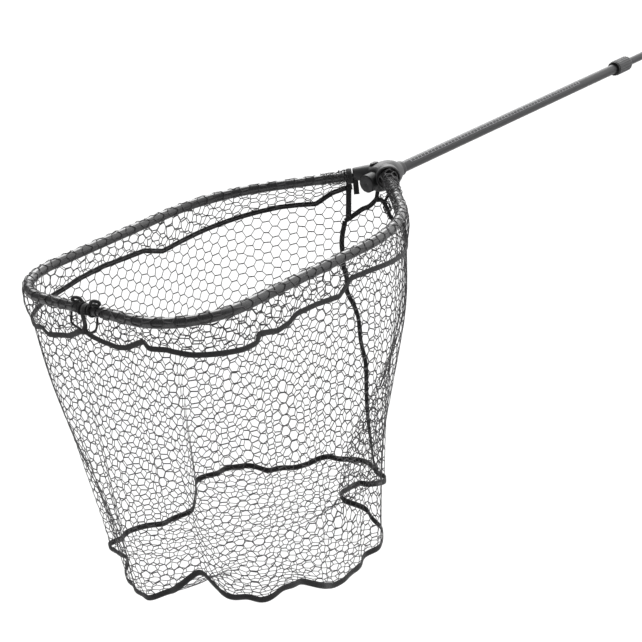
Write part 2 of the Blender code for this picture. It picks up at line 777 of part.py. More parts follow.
def head_shells():
    """The head's body and cover, which clamp the arms and the bushes between them."""
    adds, cuts = hub_tools()
    profile = [
        (HUB_REAR, 0),
        (HUB_REAR, HUB_REAR_RADIUS),
        (HUB_REAR - HUB_SLEEVE, HUB_REAR_RADIUS + SEAT_GAP),
        (HUB_REAR - HUB_SHOULDER, HUB_RADIUS),
        (HUB_FRONT + HUB_NOSE, HUB_RADIUS),
        (HUB_FRONT, HUB_FRONT_RADIUS),
        (HUB_FRONT, 0),
    ]
    reach = HUB_LENGTH
    low = (HUB_FRONT - reach, -reach, -reach)
    high = (HUB_REAR + reach, reach, reach)
    below = as_cutter(block("lower_half", low, (*high[:2], HOOP_RISE - SEAT_GAP / 2)))
    above = as_cutter(block("upper_half", (*low[:2], HOOP_RISE + SEAT_GAP / 2), high))
    hub = turned("hub_form", profile, closed=False)
    for tool in adds:
        hub = combined(hub, tool, "UNION")
    for tool in cuts:
        hub = combined(hub, tool, "DIFFERENCE")
    for name, half in (("head_body", below), ("head_cover", above)):
        shell = new_object(name, hub.data.copy(), hub.matrix_world)
        finished(combined(shell, half, "INTERSECT"), "moulded")
    as_cutter(hub)


def head_fittings():
    """The bushes that the handle slides in, and the cover screws."""
    rear_low = HUB_REAR - REAR_BUSH_LENGTH
    front_high = HUB_FRONT + FRONT_BUSH_LENGTH
    finished(ring("slide_bush_rear", rear_low, HUB_REAR, BUSH_BORE, BUSH_RADIUS), "nylon")
    finished(ring("slide_bush_front", HUB_FRONT, front_high, BUSH_BORE, BUSH_RADIUS), "nylon")
    head = -SCREW_HEAD_DEPTH
    profile = [
        (SCREW_TOP, 0),
        (SCREW_TOP, SCREW_RADIUS),
        (head + SCREW_HEAD_HEIGHT, SCREW_RADIUS),
        (head + SCREW_HEAD_HEIGHT, SCREW_HEAD_RADIUS),
        (head, SCREW_HEAD_RADIUS),
        (head, 0),
    ]
    for number, (x, y) in enumerate(screw_places(), 1):
        frame = Matrix.Translation((x, y, 0))
        finished(turned(f"cover_screw_{number}", profile, frame, False, SMALL_STEPS), "steel")


def release():
    """The release button, the brake that it carries and the spring that lifts them."""
    half = (BUTTON_TOP - BUTTON_BASE) / 2
    frame = Matrix.Translation((BUTTON_X, BUTTON_OFFSET, BUTTON_BASE + half))
    button = prism("release_button", button_outline(0), half, frame)
    bevel = button.modifiers.new("Round", "BEVEL")
    bevel.width = BUTTON_ROUND
    bevel.segments = 2
    finished(baked(button), "black_plastic")
    frame = Matrix.Translation((BUTTON_X, BUTTON_OFFSET, 0))
    post_top = BUTTON_BASE - SEAT_GAP
    post = rod("brake_post", BRAKE_ARM_BOTTOM + WELD, post_top, POST_RADIUS, frame, SMALL_STEPS)
    length = BRAKE_LENGTH / 2
    pad_top = -FRONT_TUBE_RADIUS - SLIDE_GAP
    pad_corner = (BUTTON_X + length, BRAKE_HALF_WIDTH, pad_top)
    pad = block("brake_pad", (BUTTON_X - length, -BRAKE_HALF_WIDTH, BRAKE_ARM_BOTTOM), pad_corner)
    arm_end = BUTTON_OFFSET + POST_RADIUS
    low = (BUTTON_X - length, BRAKE_HALF_WIDTH - LAYER_GAP, BRAKE_ARM_BOTTOM)
    stirrup = block("lock_stirrup", low, (BUTTON_X + length, arm_end, BRAKE_ARM_TOP))
    for tool in (post, pad):
        stirrup = combined(stirrup, as_cutter(tool), "UNION")
    finished(stirrup, "steel")
    low = POCKET_FLOOR + SPRING_WIRE + SEAT_GAP
    high = BRAKE_ARM_BOTTOM - SPRING_WIRE - SEAT_GAP
    count = SPRING_TURNS * SPRING_TURN_POINTS
    coil = []
    for step in range(count + 1):
        angle = 2 * math.pi * step / SPRING_TURN_POINTS
        height = low + (high - low) * step / count
        x = BUTTON_X + SPRING_RADIUS * math.cos(angle)
        coil.append((x, SPRING_RADIUS * math.sin(angle), height))
    print("spring: gap between turns", (high - low) / SPRING_TURNS - 2 * SPRING_WIRE)
    finished(swept("button_spring", coil, SPRING_WIRE, resolution=1), "steel")


def hoop():
    """The two arms, the joiner at the tip with its screws, and the net's sleeves on the arms."""
    screw_low = HOOP_RISE - JOINER_RADIUS - SCREW_HEAD_HEIGHT / 2
    for side, name in ((LEFT, "left"), (RIGHT, "right")):
        plan = rounded(hoop_corners(side), [HOOP_SHOULDER_ROUND, HOOP_CORNER_ROUND])
        line = [Vector((*point, HOOP_RISE)) for point in plan]
        frame = Matrix.Translation((TIP, side * JOINER_SCREW_SPREAD, HOOP_RISE))
        hole = rod(name + "_screw_hole", -2 * JOINER_RADIUS, 0, SCREW_RADIUS + SEAT_GAP, frame, SMALL_STEPS)
        as_cutter(hole)
        arm = swept(name + "_arm_tube", line, ARM_RADIUS, ARM_WALL)
        finished(combined(arm, hole, "DIFFERENCE"), "anodised")
        start_at = NECK_LENGTH if side == LEFT else SOCKET_LENGTH
        tail = Vector((TIP, side * (JOINER_LENGTH / 2 + SEAT_GAP), HOOP_RISE))
        covered = [arm_place(side, start_at + SLEEVE_SETBACK), *line[1:-1], tail]
        sleeve = swept(f"net_sleeve_{name}", covered, SLEEVE_RADIUS, SLEEVE_WALL)
        finished(sleeve, "rubber_net")
        screw = [
            (HOOP_RISE - ARM_RADIUS + ARM_WALL, 0),
            (HOOP_RISE - ARM_RADIUS + ARM_WALL, SCREW_RADIUS),
            (screw_low + SCREW_HEAD_HEIGHT / 4, SCREW_RADIUS),
            (screw_low + SCREW_HEAD_HEIGHT / 4, SCREW_HEAD_RADIUS),
            (screw_low - SCREW_HEAD_HEIGHT / 2, SCREW_HEAD_RADIUS),
            (screw_low - SCREW_HEAD_HEIGHT / 2, 0),
        ]
        place = Matrix.Translation((TIP, side * JOINER_SCREW_SPREAD, 0))
        finished(turned("joiner_screw_" + name, screw, place, False, SMALL_STEPS), "steel")
    centre = axis_frame((TIP, 0, HOOP_RISE), (0, 1, 0))
    half = JOINER_LENGTH / 2
    joiner = ring("frame_joiner", -half, half, ARM_RADIUS + SEAT_GAP, JOINER_RADIUS, centre, SMALL_STEPS)
    for name in ("left", "right"):
        joiner = combined(joiner, bpy.data.objects[name + "_screw_hole"], "DIFFERENCE")
    finished(joiner, "anodised")


def bag():
    """The bag's wall with its notches under the head and at the tip, and its sagging floor."""
    shares = loop_shares()
    drops = [BAG_DEPTH * row / WALL_ROWS for row in range(WALL_ROWS + 1)]
    rows = [[wall_point(share, drop) for share in shares] for drop in drops]
    wall = loft("net_wall", rows, NET_THICKNESS, closed=True)
    over = HUB_LENGTH
    notch = [
        (NOTCH_LEFT, over),
        (NOTCH_LEFT, NET_TOP - NOTCH_LEFT_DROP),
        (NOTCH_RIGHT, NET_TOP - NOTCH_RIGHT_DROP),
        (NOTCH_RIGHT, over),
    ]
    facing = Matrix(((0, 0, 1), (1, 0, 0), (0, 1, 0))).to_4x4()
    middle = Matrix.Translation((HUB_REAR - FLOOR_REAR_SETBACK / 2, 0, 0))
    opening = as_cutter(prism("notch", notch, FLOOR_REAR_SETBACK, middle @ facing))
    wall = combined(wall, opening, "DIFFERENCE")
    low = (TIP - over, -FRONT_NOTCH_HALF_WIDTH, NET_TOP - FRONT_NOTCH_DROP)
    high = (TIP + over, FRONT_NOTCH_HALF_WIDTH, over)
    wall = combined(wall, as_cutter(block("front_notch", low, high)), "DIFFERENCE")
    finished(wall, "rubber_net")
    edge = [wall_point(share, BAG_DEPTH) for share in shares]
    middle = sum(edge, Vector()) / len(edge)
    inset = NET_THICKNESS / 2 + LAYER_GAP
    rings = []
    for step in range(FLOOR_RINGS):
        share = step / FLOOR_RINGS
        sink = Vector((0, 0, -BAG_SAG * math.sin(share * math.pi / 2) - inset))
        rings.append([point.lerp(middle, share) + sink for point in edge])
    finished(loft("net_floor", rings, NET_THICKNESS, closed=True, filled=True), "rubber_net")


def tapes():
    """The tapes sewn on the bag: round the rim, the floor and the notch, and down the rear seam."""
    columns = [i / HALF_COLUMNS for i in range(1, HALF_COLUMNS + 1)]
    start_share = wall_share(NOTCH_LEFT + STRAP_WIDTH, RIM_TAPE_DROP)
    end_share = wall_share(EDGE_STRAP_END - LAYER_GAP, RIM_TAPE_DROP)
    left = [share for share in columns if share > start_share]
    right = [-share for share in reversed(columns[:-1]) if -share < end_share]
    path = []
    for share in (start_share, *left, *right, end_share):
        path.append((share, FRONT_TAPE_DROP if share == 1 else RIM_TAPE_DROP))
    band("rim_tape", path, TAPE_WIDTH, TAPE_THICKNESS, TAPE_LAYER)
    shares = loop_shares()
    rows = []
    for drop in (BAG_DEPTH - TAPE_WIDTH, BAG_DEPTH):
        rows.append([wall_point(share, drop, TAPE_LAYER) for share in shares])
    finished(loft("floor_tape", rows, TAPE_THICKNESS, closed=True), "webbing")
    lower = TAPE_WIDTH / 2
    left_end = (NOTCH_LEFT, NOTCH_LEFT_DROP + lower)
    right_end = (NOTCH_RIGHT, NOTCH_RIGHT_DROP + lower)
    band("notch_tape", straight_path(left_end, right_end), TAPE_WIDTH, TAPE_THICKNESS, TAPE_LAYER)
    seam_top = (NOTCH_LEFT - TAPE_WIDTH, NOTCH_LEFT_DROP + 2 * TAPE_WIDTH)
    seam_foot = (0, BAG_DEPTH - TAPE_WIDTH - TAPE_WIDTH / 8)
    band("seam_tape", straight_path(seam_top, seam_foot), TAPE_WIDTH, TAPE_THICKNESS, TAPE_LAYER)
    edge_start = (NOTCH_RIGHT - LAYER_GAP, NOTCH_RIGHT_DROP + lower)
    edge_end = (EDGE_STRAP_END, RIM_TAPE_DROP)
    band("edge_strap", straight_path(edge_start, edge_end), STRAP_WIDTH, STRAP_THICKNESS, STRAP_LAYER)


def looped_strap(name, frame, seat, foot):
    """A strap with a loop round a tube and a flat run that leaves the loop's outer side towards a foot."""
    half_width = STRAP_WIDTH / 2
    loop = ring(name, -half_width, half_width, seat, seat + STRAP_THICKNESS, frame, SMALL_STEPS)
    along_tube = frame.col[2].to_3d()
    reach = foot - frame.translation
    reach -= along_tube * reach.dot(along_tube)
    outward = reach.cross(along_tube).normalized()
    radius = seat + STRAP_THICKNESS / 2
    turn = math.acos(radius / reach.length)
    leave = reach.normalized() * math.cos(turn) + outward * math.sin(turn)
    top = frame.translation + leave * radius
    top -= (foot - top).normalized() * STRAP_THICKNESS
    half = along_tube * (half_width - SEAT_GAP)
    rows = [[top - half, foot - half], [top + half, foot + half]]
    loop = combined(loop, as_cutter(loft(name + "_run", rows, STRAP_THICKNESS)), "UNION")
    return finished(loop, "webbing")


def straps():
    """The straps that hold the bag at the head and at the tip, and the cord ties on the joiner."""
    frame = arm_frame(LEFT, NECK_LENGTH + SLEEVE_SETBACK / 2)
    across = NOTCH_LEFT - STRAP_WIDTH
    rise = (NOTCH_LEFT_DROP - NOTCH_RIGHT_DROP) / (NOTCH_LEFT - NOTCH_RIGHT)
    drop = NOTCH_LEFT_DROP - rise * STRAP_WIDTH
    foot = wall_point(wall_share(across, drop), drop, STRAP_LAYER)
    looped_strap("head_strap", frame, ARM_RADIUS + SEAT_GAP, foot)
    under = arm_place(LEFT, NECK_LENGTH - STRAP_WIDTH)
    top = under - Vector((0, 0, neck_radius(NECK_LENGTH - 1.5 * STRAP_WIDTH) + SEAT_GAP))
    half = Vector((*arm_direction(LEFT), 0)) * STRAP_WIDTH / 2
    tail = top - Vector((0, 0, STRAP_TAIL_LENGTH))
    rows = [[top - half, tail - half], [top + half, tail + half]]
    finished(loft("strap_tail", rows, STRAP_THICKNESS), "webbing")
    frame = axis_frame((TIP, 0, HOOP_RISE), (0, -1, 0))
    foot = wall_point(1, FRONT_TAPE_DROP, STRAP_LAYER)
    looped_strap("front_strap", frame, JOINER_RADIUS + SEAT_GAP, foot)
    for side, name in ((LEFT, "left"), (RIGHT, "right")):
        profile = []
        for step in range(SMALL_STEPS // 2):
            angle = -4 * math.pi * step / SMALL_STEPS
            radius = JOINER_RADIUS + SEAT_GAP + TIE_CORD_RADIUS
            profile.append((TIE_CORD_RADIUS * math.sin(angle), radius + TIE_CORD_RADIUS * math.cos(angle)))
        frame = axis_frame((TIP, side * TIE_SPREAD, HOOP_RISE), (0, 1, 0))
        finished(turned("tie_loop_" + name, profile, frame, steps=SMALL_STEPS), "webbing")


def main():
    start()
    handle_rear()
    handle_front()
    lock_collar()
    head_shells()
    head_fittings()
    release()
    hoop()
    bag()
    tapes()
    straps()


main()
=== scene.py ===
"""Looks of the landing net: knotless netting, sewn tapes and straps, a moulded head and a printed handle.

Metres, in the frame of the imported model: +X to the butt, +Z up, +Y to the left of the handle.
"""
import json
import math

import bmesh
import bpy
import numpy as np
from mathutils import Matrix, Vector


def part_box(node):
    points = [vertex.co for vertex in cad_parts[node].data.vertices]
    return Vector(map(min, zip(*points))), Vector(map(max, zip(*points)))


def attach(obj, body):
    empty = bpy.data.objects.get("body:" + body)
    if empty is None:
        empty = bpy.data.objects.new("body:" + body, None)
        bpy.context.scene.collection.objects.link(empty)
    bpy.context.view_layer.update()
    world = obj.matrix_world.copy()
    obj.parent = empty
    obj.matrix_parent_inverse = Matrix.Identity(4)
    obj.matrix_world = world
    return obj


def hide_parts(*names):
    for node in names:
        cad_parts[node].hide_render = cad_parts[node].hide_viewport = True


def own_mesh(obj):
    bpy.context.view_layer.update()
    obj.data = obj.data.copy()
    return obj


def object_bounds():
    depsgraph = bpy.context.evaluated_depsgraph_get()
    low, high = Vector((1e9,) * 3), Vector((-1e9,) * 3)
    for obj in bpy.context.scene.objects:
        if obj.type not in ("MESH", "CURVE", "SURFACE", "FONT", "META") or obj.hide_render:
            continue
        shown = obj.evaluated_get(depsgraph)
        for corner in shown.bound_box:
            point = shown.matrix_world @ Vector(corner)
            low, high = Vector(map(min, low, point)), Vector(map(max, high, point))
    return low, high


UP = np.array([0, 0, 1.0])
TURN = 2 * math.pi
SIDES = ((1, "left"), (-1, "right"))

# Camera
CAMERA_PLACE = (-2.9167, -1.6947, 0.7625)
CAMERA_LOOK = (0.6593, 0.6541, -0.3708)
CAMERA_ROLL = -8.0
CAMERA_LENS = 84.1

# Light: the sky's strength away from and towards its bright side, a wide soft sun, and the ground's greys
SKY_DARK = 0.28
SKY_BRIGHT = 2.2
SKY_SIDE = (0.953, -0.120, 0.281)
SKY_EDGES = (0.35, 0.85)
SUN_FROM = (0.55, 0.55, 0.63)
SUN_STRENGTH = 2.2
SUN_ANGLE = 40
GROUND_SEEN = 0.93
GROUND_BOUNCE = 0.30
GROUND_GAP = 0.45
GROUND_MIDDLE = -1
GROUND_HALF = 20

# Hoop and bag in plan, as they are built
HOOP_SHOULDER = 0.258
HOOP_REAR_HALF_WIDTH = 0.226
HOOP_FRONT_HALF_WIDTH = 0.215
HOOP_SHOULDER_ROUND = 0.250
HOOP_CORNER_ROUND = 0.115
ARM_ROOT_SETBACK = 0.061
ARM_ROOT_OFFSET = 0.018
JOINER_RADIUS = 0.0073
NECK_LENGTH = 0.033
SOCKET_LENGTH = 0.020
BAG_DEPTH = 0.485
BAG_SAG = 0.036
BAG_REAR_SETBACK = 0.062
BAG_REAR_HALF_WIDTH = 0.046
BAG_REAR_ROUND = 0.038
FLOOR_REAR_SETBACK = 0.203
FLOOR_REAR_HALF_WIDTH = 0.110
FLOOR_SHOULDER = 0.310
FLOOR_HALF_WIDTH = 0.205
FLOOR_LENGTH = 0.703
FLOOR_ROUNDS = (0.060, 0.120, 0.100)
ARC_STEPS = 24

# Drop of the rim tape under the hoop, in millimetres, at shares of the rim from the rear: left +, right -
RIM_LINE = (
    (0.060, 17), (0.075, 18), (0.10, 23), (0.13, 38), (0.17, 35), (0.20, 34), (0.25, 37), (0.30, 41),
    (0.35, 45), (0.40, 49), (0.455, 52), (0.50, 37), (0.60, 32), (0.65, 34), (0.70, 40), (0.78, 47),
    (0.84, 48), (0.865, 43), (0.88, 53), (0.94, 44), (0.985, 26), (1.0, 24), (-0.965, 36), (-0.94, 42),
    (-0.92, 40), (-0.876, 22), (-0.870, 33), (-0.84, 33), (-0.80, 44), (-0.72, 55), (-0.692, 55),
    (-0.684, 43), (-0.645, 53), (-0.62, 50), (-0.60, 42), (-0.555, 43), (-0.50, 49), (-0.47, 30),
    (-0.42, 33), (-0.37, 39), (-0.31, 46), (-0.14, 50),
)
RIM_REACH = 0.0015

# Folds of the wall: two waves (height, count round the rim), and bulges (share, reach, height) at the rim
FOLDS = ((0.0035, 19), (0.0025, 31))
FOLD_PHASE = 0.4
FOLD_SLANT = 9
FOLD_START = 0.08
FOLD_GROWTH = 0.30
RIM_BULGES = ((0.80, 0.06, 0.007), (1.0, 0.05, 0.011))
BULGE_GROWTH = 0.030

# How far the wall's lower edge stands out and up, in millimetres, at the same shares
LOWER_EDGE = (
    (0, 15, -20), (0.10, -5, -25), (0.15, -25, -35), (0.25, -20, -38), (0.30, -5, -22), (0.40, 5, -8),
    (0.44, 8, -8), (0.50, -30, -30), (0.55, -22, -36), (0.65, -12, -15), (0.75, -17, -6), (0.82, -40, -8),
    (0.86, -35, -14), (0.90, 5, -20), (1.0, 12, -10), (-0.95, 0, 5), (-0.90, -13, 40), (-0.87, -15, 42),
    (-0.83, -10, 24), (-0.75, -3, 7), (-0.70, 0, 17), (-0.65, 0, 6), (-0.57, 5, -38), (-0.45, -10, -38),
    (-0.38, -20, -35), (-0.33, -60, -30), (-0.23, -125, -5), (-0.15, -80, -15), (-0.10, -35, -25),
)
EDGE_REACH_SHARE = 0.010
EDGE_START = 0.10
EDGE_POWER = 1.2
EDGE_STEPS = 720

# Lumps of the floor: height, and the wave and phase along x and y
FLOOR_LUMP = 0.005
FLOOR_WAVES = ((21, 0.5), (26, 1.0))

# Lines on the net under the head: lengths from the rear and drops, in millimetres
REAR_EDGE = (
    (-129, 50), (-90, 32), (-55, 20), (-28, 18), (-16, 22), (-8, 26), (2, 27), (6, 36), (20, 49), (36, 56),
    (51, 66), (68, 75),
)
NOTCH_END = ((4, 27), (3, 19))
EDGE_STRAP_LINE = ((5, 37), (-3, 36), (-12, 41), (-22, 53), (-31, 64), (-50, 68), (-85, 62), (-129, 51))
HOLD_STRAP_LINE = ((-11, 40), (-18, 30), (-26, 17))
SEAM_LINE = (
    REAR_EDGE[-1], (73, 108), (70, 139), (71, 146), (60, 178), (59, 198), (36, 236), (28, 276),
    (14, 316), (10, 374), (0, 424), (-25, 468), (-60, 476),
)
NOTCH_MARGIN = 0.004

# Netting: cells and strands, then the sleeves on the arms and what is gathered or bunched at the head
CELL_PITCH = 0.0165
CELL_ROW = 0.0188
FLAT_HALF = 0.0054
FLAT_STRAND = 0.00088
LEG_STRAND = 0.00058
STRAND_HEIGHT = 0.0006
CELL_JITTER = 0.0009
LEAST_TURN = 0.2
LEAST_SIDE = 1e-4
LEAST_HOLE = 0.0012
LONGEST_MITRE = 0.006
HOSE_RADIUS = 0.0082
HOSE_STEPS = 120
SLEEVE_RADIUS = 0.0090
BUNCH_RADIUS = 0.0112
BUNCH_LENGTH = 0.045
LEG_LENGTH = 0.052
LEG_SLACK = 0.004
SLEEVE_START = 0.012
SLEEVE_LUMP = 0.0004
SLEEVE_WAVES = (260, 3)
SOCKET_OVERLAP = 0.008
SOCKET_GATHER = 0.028
SOCKET_GATHER_REACH = 0.05
TIP_OVERLAP = 0.010
GATHER_SPAN = (-0.062, -0.002)
GATHER_PITCH = 0.0100
GATHER_ROW = 0.0150
GATHER_LAYER = 0.0030
BUNCH_PITCH = 0.0105
BUNCH_LUMPS = ((0.0012, 3, 190), (0.0008, 5, -270))
BUNCHES = {
    "netting_socket": (
        -1, (0.010, 0.016, 0.022, 0.030, 0.042, 0.065, 0.090, 0.120),
        (0.0110, 0.0150, 0.0165, 0.0152, 0.0128, 0.0122, 0.0116, 0.0098),
    ),
    "netting_neck": (1, (0.036, 0.046, 0.056, 0.070, 0.090), (0.0096, 0.0110, 0.0115, 0.0106, 0.0096)),
}

# Tapes, straps and cords
TAPE_WIDTH = 0.009
FLOOR_TAPE_WIDTH = 0.0105
FLOOR_TAPE_LIFT = 0.003
FLOOR_TAPE_STEPS = 480
RIM_TAPE_STEPS = 640
TAPE_THICKNESS = 0.0016
TAPE_SHARPNESS = (0.35, 0.8)
TAPE_LAYER = 0.0020
NOTCH_TAPE_LAYER = 0.0015
STRAP_WIDTH = 0.010
STRAP_THICKNESS = 0.0018
STRAP_LAYER = 0.0040
STRAP_STEPS = 24
STRAP_SAG = 0.0015
STRAP_WAVES = 2.2
HEAD_STRAP_GAP = 0.0065
HEAD_STRAP_CLEARANCE = 0.0008
HEAD_STRAP_FOOT = (0.0615, 0.076)
TAIL_LENGTH = 0.030
TAIL_SETBACK = 0.0035
TAIL_DROP = 0.0045
TAIL_LEAN = 0.001
TAIL_WAVE = 0.002
TAIL_WAVES = 4
TAIL_STEPS = 20
TAIL_FOLD = ((-1, 0.0016), (-4, 0.0022), (-8, 0.0016))
EDGE_STRAP_WIDTH = 0.0085
HOLD_STRAP_WIDTH = 0.006
SLIDER_STEP = 34
SLIDER_HALF = (0.0075, 0.0072)
SLIDER_LIFT = 0.0014
SLIDER_WIRE = (0.0022, 0.0020, 8)
SLIDER_SIDE = (0.12, 0.5, 0.88)
ANY_SIDE = (0.31, 0.52, 0.79)
CORD_RADIUS = 0.0017
LOOP_RADIUS = 0.0026
TIE_SPREAD = 0.0115
TIE_LEAN = 0.10
TIE_LOOP = (
    (0.003, 0, -0.001), (0.001, 0.003, 0.0055), (-0.001, 0.010, 0.0070), (-0.003, 0.016, 0.0042),
    (-0.002, 0.014, 0.0004), (0.001, 0.006, 0.0004),
)
TIE_FOOT_SPREAD = 0.010
TIE_FOOT_LIFT = 0.003
TIE_LEG_SPREAD = 0.030
TIE_LEG_TURN = (0.8, 0.6)
TIE_LEG_BEND = (-0.003, 0.006, -0.006)
TIE_BEND_SHARE = 0.4
RIB_PITCH = 0.0012
STITCH_LINE = 0.0032
STITCH_PITCH = 0.0036
STITCH_HALF = 0.0004

# Printed scale on the front tube, with its marks in degrees from the top
SCALE_START = -0.930
SCALE_STEP = 0.01
SCALE_MARKS = 56
SCALE_EVERY = 5
SCALE_BASE = 53
SCALE_SHORT = 26
SCALE_LONG = 6
SCALE_LINE = 0.0007
SHORT_MARK = 0.0020
LONG_MARK = 0.0026
PRINT_THICKNESS = 0.00016
PRINT_LIFT = 0.00005
DIGIT_SIZE = 0.0062
DIGIT_LIFT = 0.00012

# Head: (x from its rear end, radius) of the hub, the neck and socket round the arms, cuts, trim and spring
HUB_PROFILE = (
    (0, 0.0134), (-0.010, 0.0138), (-0.015, 0.0170), (-0.022, 0.0208), (-0.032, 0.0246), (-0.044, 0.0262),
    (-0.060, 0.0254), (-0.070, 0.0230), (-0.075, 0.0196),
)
HANDLE_BORE = 0.0121
NECK_END_RADIUS = 0.0105
NECK_ROOT_RADIUS = 0.0160
NECK_ROOT = 0.004
NECK_LIFT = 0.0035
HUB_RING = (-0.040, 0.002)
HUB_RING_RADIUS = 0.0212
SOCKET_RADIUS = 0.0220
SOCKET_DEPTH = 0.026
SOCKET_TAPER = 0.002
SOCKET_WALL = 0.0042
SOCKET_POCKET = 0.015
DARK_RING_INSET = 0.0030
DARK_RING_RADIUS = 0.0015
CAP_GAP = 0.0005
CAP_CLEARANCE = 0.0006
CAP_FACE = ((0.0004, 0.0146), (-0.0003, 0.0144), (-0.0006, 0.0136), (-0.0006, 0.0018), (0.0002, 0.0010))
BUTTON_CLEARANCE = 0.0005
BUTTON_ROOM = 0.004
OVAL_STEPS = 40
RING_ARC = 0.0268
RING_MARGIN = 0.0013
RING_SECTION = (0.0018, 0.0020, 8)
SCREW_COUNT = 4
SCREW_SEAT = 0.001
SCREW_CLEARANCE = 0.0004
PAST_REAR = 0.02
PAST_MOUTH = 0.02
PAST_FRONT = -0.12
PAST_TOP = 0.05
PAST_BOTTOM = -0.06
SHELL_VOXEL = 0.0010
SHELL_SMOOTHING = 24
SHELL_SHARP = 50
CAD_SHARP = 35
SPRING_WIRE = 0.0004
SPRING_TURNS = 5
SPRING_STEPS = 24

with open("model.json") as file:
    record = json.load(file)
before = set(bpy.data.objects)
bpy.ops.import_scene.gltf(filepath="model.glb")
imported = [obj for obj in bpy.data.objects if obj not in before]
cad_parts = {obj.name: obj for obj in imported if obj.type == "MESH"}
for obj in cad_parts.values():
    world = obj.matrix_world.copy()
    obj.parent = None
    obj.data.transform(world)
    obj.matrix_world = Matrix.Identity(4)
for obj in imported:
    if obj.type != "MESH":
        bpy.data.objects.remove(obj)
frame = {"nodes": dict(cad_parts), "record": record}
CAD_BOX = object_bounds()
NODES = frame["nodes"]
RANDOM = np.random.default_rng(7)
MATERIALS = {}


def box_of(name):
    """The middle of a node's box, and half its size."""
    low, high = np.array(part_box(name), float)
    return (low + high) / 2, (high - low) / 2


HUB_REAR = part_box("slide_bush_rear")[1].x
TIP, _, HOOP_RISE = box_of("frame_joiner")[0]
JOINER_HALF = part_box("frame_joiner")[1].y
NET_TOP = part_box("net_wall")[1].z
TUBE_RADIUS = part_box("front_tube")[1].z


def rounded_run(corners, radii):
    """Points through plan corners, with an arc of the given radius at each inner one."""
    corners = [Vector(corner) for corner in corners]
    run = [corners[0]]
    for before, corner, after, radius in zip(corners, corners[1:], corners[2:], radii):
        into = (corner - before).normalized()
        out = (after - corner).normalized()
        turn = into.angle(out)
        start = corner - into * radius * math.tan(turn / 2)
        inward = (out - into * out.dot(into)).normalized()
        centre = start + inward * radius
        for angle in turn * np.arange(ARC_STEPS + 1) / ARC_STEPS:
            run.append(centre - inward * radius * math.cos(angle) + into * radius * math.sin(angle))
    run.append(corners[-1])
    return np.array([tuple(point) for point in run])


def reader(points):
    """A function that gives the points at lengths along a run, and the run's length."""
    steps = np.linalg.norm(np.diff(points, axis=0), axis=1)
    lengths = np.concatenate(([0], np.cumsum(steps)))

    def read(length):
        return np.stack([np.interp(length, lengths, axis) for axis in points.T], axis=-1)

    return read, lengths[-1]


def knot_reader(knots, reach):
    """A function that reads metres between knots round the rim, rounded off over a reach of its shares."""
    table = np.array(knots, float)

    def read(share, column=1):
        offsets = np.linspace(-reach, reach, 5)
        values = [np.interp(share + step, table[:, 0], table[:, column], period=2) for step in offsets]
        return np.mean(values, axis=0) / 1000

    return read


# Left halves in plan, from the rear to the tip: the arm's centre line, and the bag at the hoop and the floor
HOOP_ROUNDS = (HOOP_SHOULDER_ROUND, HOOP_CORNER_ROUND)
HOOP_CORNERS = ((HUB_REAR - HOOP_SHOULDER, HOOP_REAR_HALF_WIDTH), (TIP, HOOP_FRONT_HALF_WIDTH), (TIP, 0))
ARM_ROOT = (HUB_REAR - ARM_ROOT_SETBACK, ARM_ROOT_OFFSET)
BAG_REAR = HUB_REAR - BAG_REAR_SETBACK
BAG_CORNERS = ((BAG_REAR, 0), (BAG_REAR, BAG_REAR_HALF_WIDTH), *HOOP_CORNERS)
FLOOR_REAR = HUB_REAR - FLOOR_REAR_SETBACK
FLOOR_TIP = HUB_REAR - FLOOR_LENGTH
FLOOR_CORNERS = (
    (FLOOR_REAR, 0), (FLOOR_REAR, FLOOR_REAR_HALF_WIDTH), (HUB_REAR - FLOOR_SHOULDER, FLOOR_HALF_WIDTH),
    (FLOOR_TIP, FLOOR_HALF_WIDTH), (FLOOR_TIP, 0),
)
ARM_RUN, ARM_LENGTH = reader(rounded_run((ARM_ROOT, *HOOP_CORNERS), HOOP_ROUNDS))
TOP_RUN, HALF_RIM = reader(rounded_run(BAG_CORNERS, (BAG_REAR_ROUND, *HOOP_ROUNDS)))
FLOOR_RUN, HALF_FLOOR = reader(rounded_run(FLOOR_CORNERS, FLOOR_ROUNDS))
RIM_KNOTS = knot_reader(RIM_LINE, RIM_REACH)
EDGE_KNOTS = knot_reader(LOWER_EDGE, EDGE_REACH_SHARE)


def smooth(value):
    """A smooth step from 0 to 1."""
    value = np.clip(value, 0, 1)
    return value * value * (3 - 2 * value)


def share_of(u):
    """The share of the rim at a length from the rear: 0 to 1 on the left, -1 to 0 on the right."""
    return (np.asarray(u, float) / HALF_RIM + 1) % 2 - 1


def wall_plain(u, drop):
    """Points of the bag's wall without its folds."""
    share = share_of(u)
    part = np.asarray(drop, float)[..., None] / BAG_DEPTH
    plan = TOP_RUN(abs(share) * HALF_RIM) * (1 - part) + FLOOR_RUN(abs(share) * HALF_FLOOR) * part
    return np.stack([plan[..., 0], plan[..., 1] * np.sign(share), NET_TOP - drop + 0 * share], axis=-1)


def square_to(surface, u, v, step=0.004):
    """The unit normals of a surface of two lengths."""
    across = surface(u + step, v) - surface(u - step, v)
    down = surface(u, v + step) - surface(u, v - step)
    normal = np.cross(down, across)
    return normal / np.maximum(np.linalg.norm(normal, axis=-1, keepdims=True), 1e-9)


def fold_depth(share, drop):
    """How far the wall's soft folds stand out."""
    (coarse, coarse_count), (fine, fine_count) = FOLDS
    wave = coarse * np.sin(coarse_count * math.pi * share + FOLD_PHASE)
    wave = wave + fine * np.sin(fine_count * math.pi * share + FOLD_SLANT * drop)
    depth = wave * smooth((drop - FOLD_START) / FOLD_GROWTH)
    for place, reach, height in RIM_BULGES:
        away = (share - place + 1) % 2 - 1
        depth = depth + height * np.exp(-(away / reach) ** 2) * smooth(drop / BULGE_GROWTH)
    return depth


